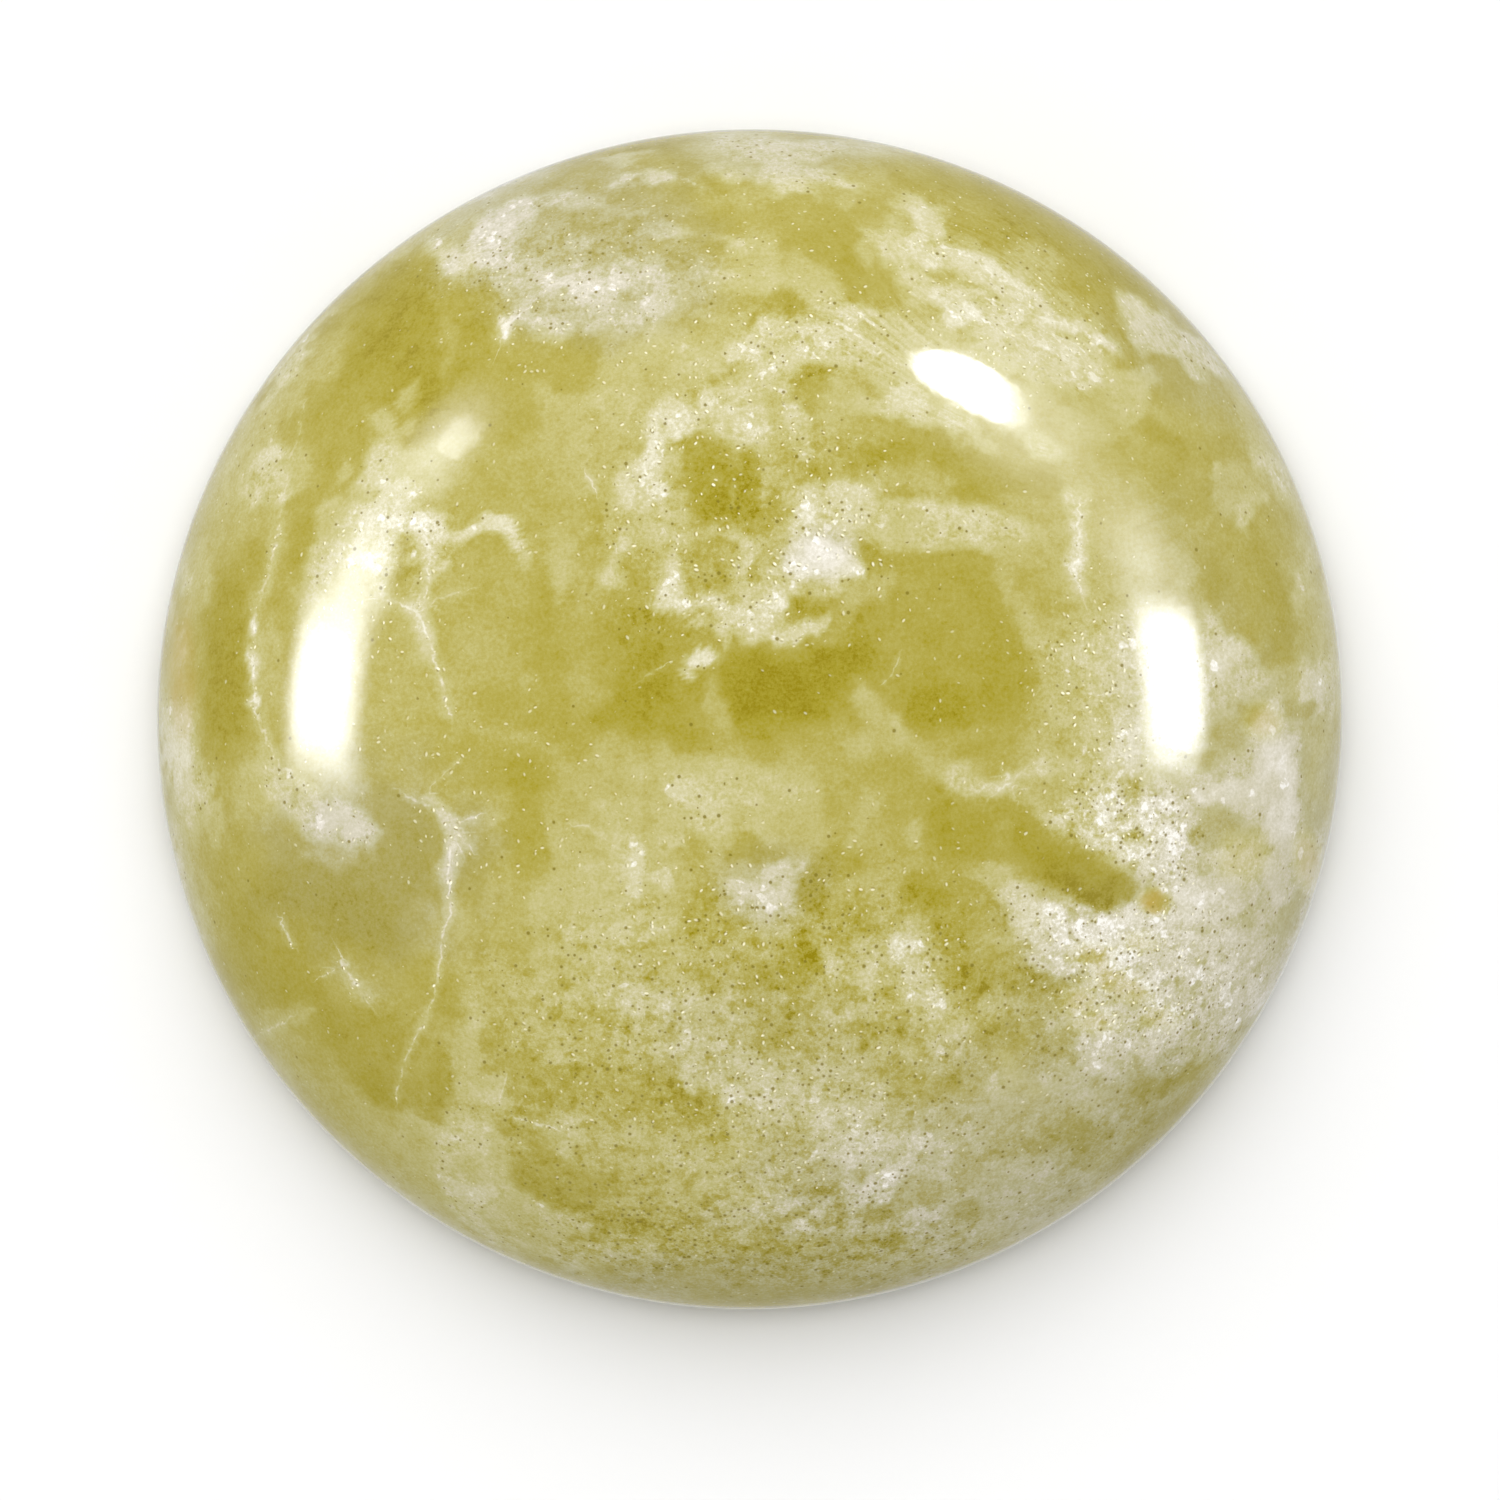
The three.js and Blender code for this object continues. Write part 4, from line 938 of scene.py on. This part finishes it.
def polished_marble():
    """Serpentine marble, cut and polished: clear olive serpentine clouded by white calcite grains."""
    material, tree = new_material("polished_serpentine_marble")
    place = add(tree, "TexCoord").outputs["Object"]
    calcite, grain, flakes_and_painted_glints, warmth, streaks, side, strength = (
        add(tree, "Attribute", attribute_name=name).outputs["Fac"]
        for name in ("calcite", "grain", "flakes_and_painted_glints", "warmth", "streaks", "thread_side", "thread_strength")
    )

    # The grain of the streaky cloud is drawn out down to the right, and its fine mottling is fainter.
    lie = (0.0, 0.0, np.radians(-30))
    drawn_out = add(tree, "Mapping", place, (0.0, 0.0, 0.0), lie, (2.4, 0.8, 1.0), vector_type="TEXTURE")
    laid = add(tree, "Mix", streaks, place, drawn_out, data_type="VECTOR")
    fine_share = add(tree, "Math MULTIPLY_ADD", streaks, -0.4, 1.0)

    # The edges of the clouds are grainy too.
    whiteness = add(tree, "MapRange", calcite, 0.45, 0.75, **SMOOTH)
    clearness = add(tree, "Math SUBTRACT", 1.0, whiteness)
    border = add(tree, "Math MULTIPLY", whiteness, clearness)
    border = add(tree, "Math MULTIPLY", border, 2.2)
    grain = add(tree, "Math MAXIMUM", grain, border)

    # Mottling, small olive blotches and pale fibres, all of them stronger where the stone is grainy.
    coarse = mottling(tree, laid, size=0.38, detail=3.0, roughness=0.6)
    fine = mottling(tree, place, size=0.09, roughness=0.7)
    weave = mottling(tree, place, size=0.8, detail=3.0, roughness=0.55)
    blotches = add(tree, "MapRange", mottling(tree, place, size=0.34), 0.03, 0.12, **SMOOTH)
    fibres = add(tree, "Math MAXIMUM", *(
        add(tree, "MapRange", add(tree, "Math ABSOLUTE", cloud), half_width, 0.0, **SMOOTH)
        for cloud, half_width in ((weave, 0.016), (coarse, 0.022))
    ))
    tone = calcite
    for marks, depth in ((coarse, MOTTLING), (blotches, BLOTCHES), (fibres, FIBRES)):
        tone = add(tree, "Math MULTIPLY_ADD", add(tree, "Math MULTIPLY", marks, grain), depth, tone)
    fine_depth = add(tree, "Math MULTIPLY", add(tree, "Math MULTIPLY_ADD", grain, 0.55, 0.26), fine_share)
    tone = add(tree, "Math MULTIPLY_ADD", fine, fine_depth, tone)

    # Flakes of white calcite, ragged, and lens-shaped in the streaky cloud.
    jolt = add(tree, "TexNoise", place, 1 / (0.2 * MM), 1.0)
    jolt = add(tree, "VectorMath SUBTRACT", jolt.outputs["Color"], (0.5, 0.5, 0.5))
    jolt = add(tree, "VectorMath SCALE", jolt, 0.3 * MM)
    jolted = add(tree, "VectorMath ADD", laid, jolt)
    flake_chance = add(tree, "Math MULTIPLY", add(tree, "Math MULTIPLY", flakes_and_painted_glints, whiteness), 0.6)
    flakes = specks(tree, jolted, spacing=0.26, radius=0.12, chance=flake_chance, edge=0.4)
    tone = add(tree, "Math MULTIPLY_ADD", flakes, FLAKES, tone)

    # Threads of calcite: a soft pale band, and a faint line along it.
    wander = mottling(tree, place, size=0.25, detail=3.0, roughness=0.6)
    off = add(tree, "Math ABSOLUTE", add(tree, "Math MULTIPLY_ADD", wander, 5.0, side))
    band = add(tree, "Math MULTIPLY", add(tree, "MapRange", off, 6.0, 0.0, **SMOOTH), strength)
    tone = add(tree, "Math MULTIPLY_ADD", band, THREAD_BAND, tone)
    line = add(tree, "Math MULTIPLY", add(tree, "MapRange", off, 1.1, 0.1, **SMOOTH), strength)
    line = add(tree, "Math MULTIPLY", line, add(tree, "MapRange", coarse, -0.12, 0.12, **SMOOTH))
    line = add(tree, "Math MULTIPLY", line, 0.6)
    tone = add(tree, "Math MULTIPLY_ADD", line, add(tree, "Math SUBTRACT", 1.0, tone), tone)

    # The tone picks a colour from each set, warmth mixes the golden and the grey one, and ochre stains some.
    shades = [add(tree, "ValToRGB", tone) for _ in range(2)]
    for ramp, tones in zip(shades, (GOLDEN_TONES, GREY_TONES)):
        lay_stops(ramp, [(at, linear(colour)) for at, colour in tones])
    greyness = add(tree, "Math MULTIPLY", warmth, -1.0, use_clamp=True)
    colour = add(tree, "Mix", greyness, *shades, data_type="RGBA")
    patchy = add(tree, "Math MULTIPLY_ADD", weave, 2.5, 1.0)
    stain = add(tree, "Math MULTIPLY", warmth, patchy, use_clamp=True)
    colour = add(tree, "Mix", stain, colour, linear(OCHRE), data_type="RGBA")

    # Brown specks and pits in the grainy parts, fewer in the streaky cloud: partly the stone's own brown
    # specks, partly painted shade in the hollows where a grain came away.
    speck_and_pit_shade_chance = add(tree, "Math MULTIPLY", add(tree, "MapRange", grain, 0.10, 1.3, **SMOOTH),
                     add(tree, "Math MULTIPLY_ADD", streaks, -0.7, 1.0))
    specks_and_pit_shade = specks(tree, place, spacing=0.16, radius=0.046, chance=speck_and_pit_shade_chance, edge=0.6)
    # Painted glints, small bright grains of painted highlight, each with the painted shade of a dark scar
    # beside it, also strung along the threads as beads.
    painted_glint_beads = add(tree, "Math MULTIPLY", add(tree, "MapRange", off, 2.2, 1.2, **SMOOTH), strength)
    painted_glint_beads = add(tree, "Math MULTIPLY", painted_glint_beads, 0.7)
    painted_glints, painted_scar_shade = painted_glints_and_scar_shade(tree, place, add(tree, "Math MAXIMUM", flakes_and_painted_glints, painted_glint_beads))
    specks_and_painted_shade = add(tree, "Math MAXIMUM", specks_and_pit_shade, add(tree, "Math MULTIPLY", painted_scar_shade, 0.8))
    for marks, most, shade in ((specks_and_painted_shade, SPECK_AND_SHADE_COVER, SPECK_BROWN_AND_PAINTED_SHADE), (painted_glints, PAINTED_GLINT_COVER, PAINTED_GLINT_CREAM)):
        cover = add(tree, "Math MULTIPLY", marks, most)
        colour = add(tree, "Mix", cover, colour, linear(shade), data_type="RGBA")

    # The polish is even but for a faint ripple. The back and the bevel are ground and not polished.
    ripple = mottling(tree, place, size=0.30, detail=1.0)
    relief = add(tree, "Bump", links={"Height": ripple, "Strength": 1.0, "Distance": RIPPLE_DEPTH * MM})
    height = add(tree, "SeparateXYZ", place).outputs["Z"]
    roughness = add(tree, "MapRange", height, GROUND_UP_TO * MM, POLISHED_FROM * MM,
                    GROUND_ROUGHNESS, POLISHED_ROUGHNESS)
    surface = add(tree, "BsdfPrincipled", links={
        "Base Color": colour,
        "Roughness": roughness,
        "IOR": MARBLE_IOR,
        "Normal": relief,
    })
    add(tree, "OutputMaterial", surface)
    return material


def white_card():
    """White card, matt: it has no gloss at all."""
    material, tree = new_material("white_card")
    surface = add(tree, "BsdfPrincipled", links={
        "Base Color": linear("#e8e8e8"),
        "Roughness": 1.0,
        "Specular IOR Level": 0.0,
    })
    add(tree, "OutputMaterial", surface)
    return material


def shown(mesh, name, material):
    """An object at the origin for a finished mesh."""
    made = bpy.data.objects.new(name, mesh)
    mesh.materials.append(material)
    bpy.context.scene.collection.objects.link(made)
    return made


def card_floor():
    """A wide square of card at height 0, which the polish doesn't mirror: the room stands in for it there."""
    reach = 2000 * MM
    corners = [(-reach, -reach, 0), (reach, -reach, 0), (reach, reach, 0), (-reach, reach, 0)]
    mesh = bpy.data.meshes.new("floor")
    mesh.from_pydata(corners, [], [(0, 1, 2, 3)])
    floor = shown(mesh, "floor", white_card())
    floor.visible_glossy = False


def softbox(name, azimuth, elevation, width, height, radiance,
            soft=NARROW, roll=0, oval=False, mirrored=True):
    """A rectangular light that faces the stone, given by where it stands and how bright its face is.

    Azimuth turns anticlockwise from +X. Its face dims towards its edges over shares of its width, at the low
    and the high end, and over shares of its height. An oval one is masked to an oval. A mirrored one is only
    seen in the polish, and any other only lights what is round it, so that the highlights and the shadow are
    set apart.
    """
    light = bpy.data.lights.new(name, "AREA")
    light.shape = "RECTANGLE"
    light.size = width * MM
    light.size_y = height * MM
    light.energy = radiance * np.pi * width * height * MM**2
    light.use_nodes = True
    tree = light.node_tree
    tree.nodes.clear()
    face = add(tree, "NewGeometry").outputs["Parametric"]
    along = add(tree, "SeparateXYZ", face).outputs
    dimmed = 1.0
    if oval:
        from_middle = add(tree, "VectorMath DISTANCE", face, (0.5, 0.5, 0.0))
        dimmed = add(tree, "MapRange", from_middle, 0.5, 0.40, **SMOOTH)
    for axis, (low_share, high_share) in zip("XY", soft):
        for start, end in ((0.0, low_share), (1.0, 1.0 - high_share)):
            edge = add(tree, "MapRange", along[axis], start, end, **SMOOTH)
            dimmed = add(tree, "Math MULTIPLY", edge, dimmed)
    glow = add(tree, "Emission", COOL_WHITE if mirrored else NEUTRAL, dimmed)
    add(tree, "OutputLight", glow)

    made = bpy.data.objects.new(name, light)
    a, e = np.radians(azimuth), np.radians(elevation)
    away = np.array([np.cos(a) * np.cos(e), np.sin(a) * np.cos(e), np.sin(e)])
    facing = Euler((np.pi / 2 - e, 0, a + np.pi / 2)).to_matrix()
    made.location = away * LIGHT_DISTANCE * MM
    made.rotation_euler = (facing @ Matrix.Rotation(np.radians(roll), 3, "Z")).to_euler()
    made.visible_camera = False
    made.visible_glossy = mirrored
    made.visible_diffuse = not mirrored
    bpy.context.scene.collection.objects.link(made)


def studio_lights():
    """Plain soft light: softboxes and walls that the polish mirrors, then the lights that do the lighting.

    Each is given by its azimuth, elevation, width, height and radiance.
    """
    softbox("left_softbox", 176.0, 31.4, 200, 164, 22, soft=((0.45, 0.45), (0.36, 0.36)), roll=-6)
    softbox("upper_left_softbox", 160, 34.6, 120, 145, 7.0, soft=((0.5, 0.5), (0.45, 0.45)))
    softbox("right_softbox", 3.6, 32.2, 170, 142, 22, soft=((0.42, 0.26), (0.36, 0.36)))
    softbox("back_right_softbox", 56.4, 38.0, 126, 82, 20, soft=((0.50, 0.1), (0.1, 0.1)), roll=16, oval=True)
    softbox("back_right_glow", 49.5, 38.0, 260, 240, 4.8, soft=FULL)
    softbox("back_left_reflector", 137.4, 34.4, 150, 150, 5.4, soft=FULL)
    softbox("back_left_lamp", 135.2, 36.9, 48, 70, 4.4, soft=((0.4, 0.2), (0.3, 0.3)), oval=True)
    softbox("left_wall", 160, 33, 300, 170, 2.5, soft=FULL)
    softbox("right_wall", 22, 33, 190, 170, 5.2, soft=FULL)

    softbox("key", 98, 60, 520, 440, 2.76, mirrored=False)
    softbox("overhead_fill", 90, 90, 240, 240, 3.0, mirrored=False)
    softbox("front_fill", 276, 17, 500, 160, 1.2, mirrored=False)
    softbox("left_fill", 205, 8, 500, 120, 1.85, mirrored=False)
    softbox("right_fill", 350, 8, 400, 120, 1.25, mirrored=False)


def room():
    """The room round the stone, as bright at each height as the list says, and dimmer below on one side."""
    world = bpy.data.worlds.new("room")
    world.use_nodes = True
    tree = world.node_tree
    tree.nodes.clear()
    direction = add(tree, "TexCoord").outputs["Generated"]
    axes = add(tree, "SeparateXYZ", direction).outputs
    height = add(tree, "MapRange", axes["Z"], -1.0)
    light = add(tree, "ValToRGB", height)
    lay_stops(light, [((sine + 1) / 2, (bright, bright, bright, 1.0)) for sine, bright in ROOM_BRIGHTNESS])
    shaded = add(tree, "MapRange", axes["Y"], 0.1, -0.7, 1.0, FLOOR_IN_SHADOW)
    below = add(tree, "MapRange", axes["Z"], 0.05, -0.15)
    dimmed = add(tree, "Mix", below, 1.0, shaded)
    add(tree, "OutputWorld", add(tree, "Background", light, dimmed))
    bpy.context.scene.world = world
    bpy.context.scene.view_settings.view_transform = "Standard"


def camera():
    """The camera looks straight down, and the top of its picture is towards +Y."""
    data = bpy.data.cameras.new("camera")
    data.lens = LENS
    data.sensor_width = SENSOR
    data.clip_start = 10 * MM
    made = bpy.data.objects.new("camera", data)
    made.location = np.array([*AIM, CROWN_FOOT + CAMERA_ABOVE_GIRDLE]) * MM
    bpy.context.scene.collection.objects.link(made)
    bpy.context.scene.camera = made


camera()
studio_lights()
card_floor()
room()
stone = shown(stone_mesh(), "polished_stone", polished_marble())
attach(stone, "root")
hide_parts("cabochon")
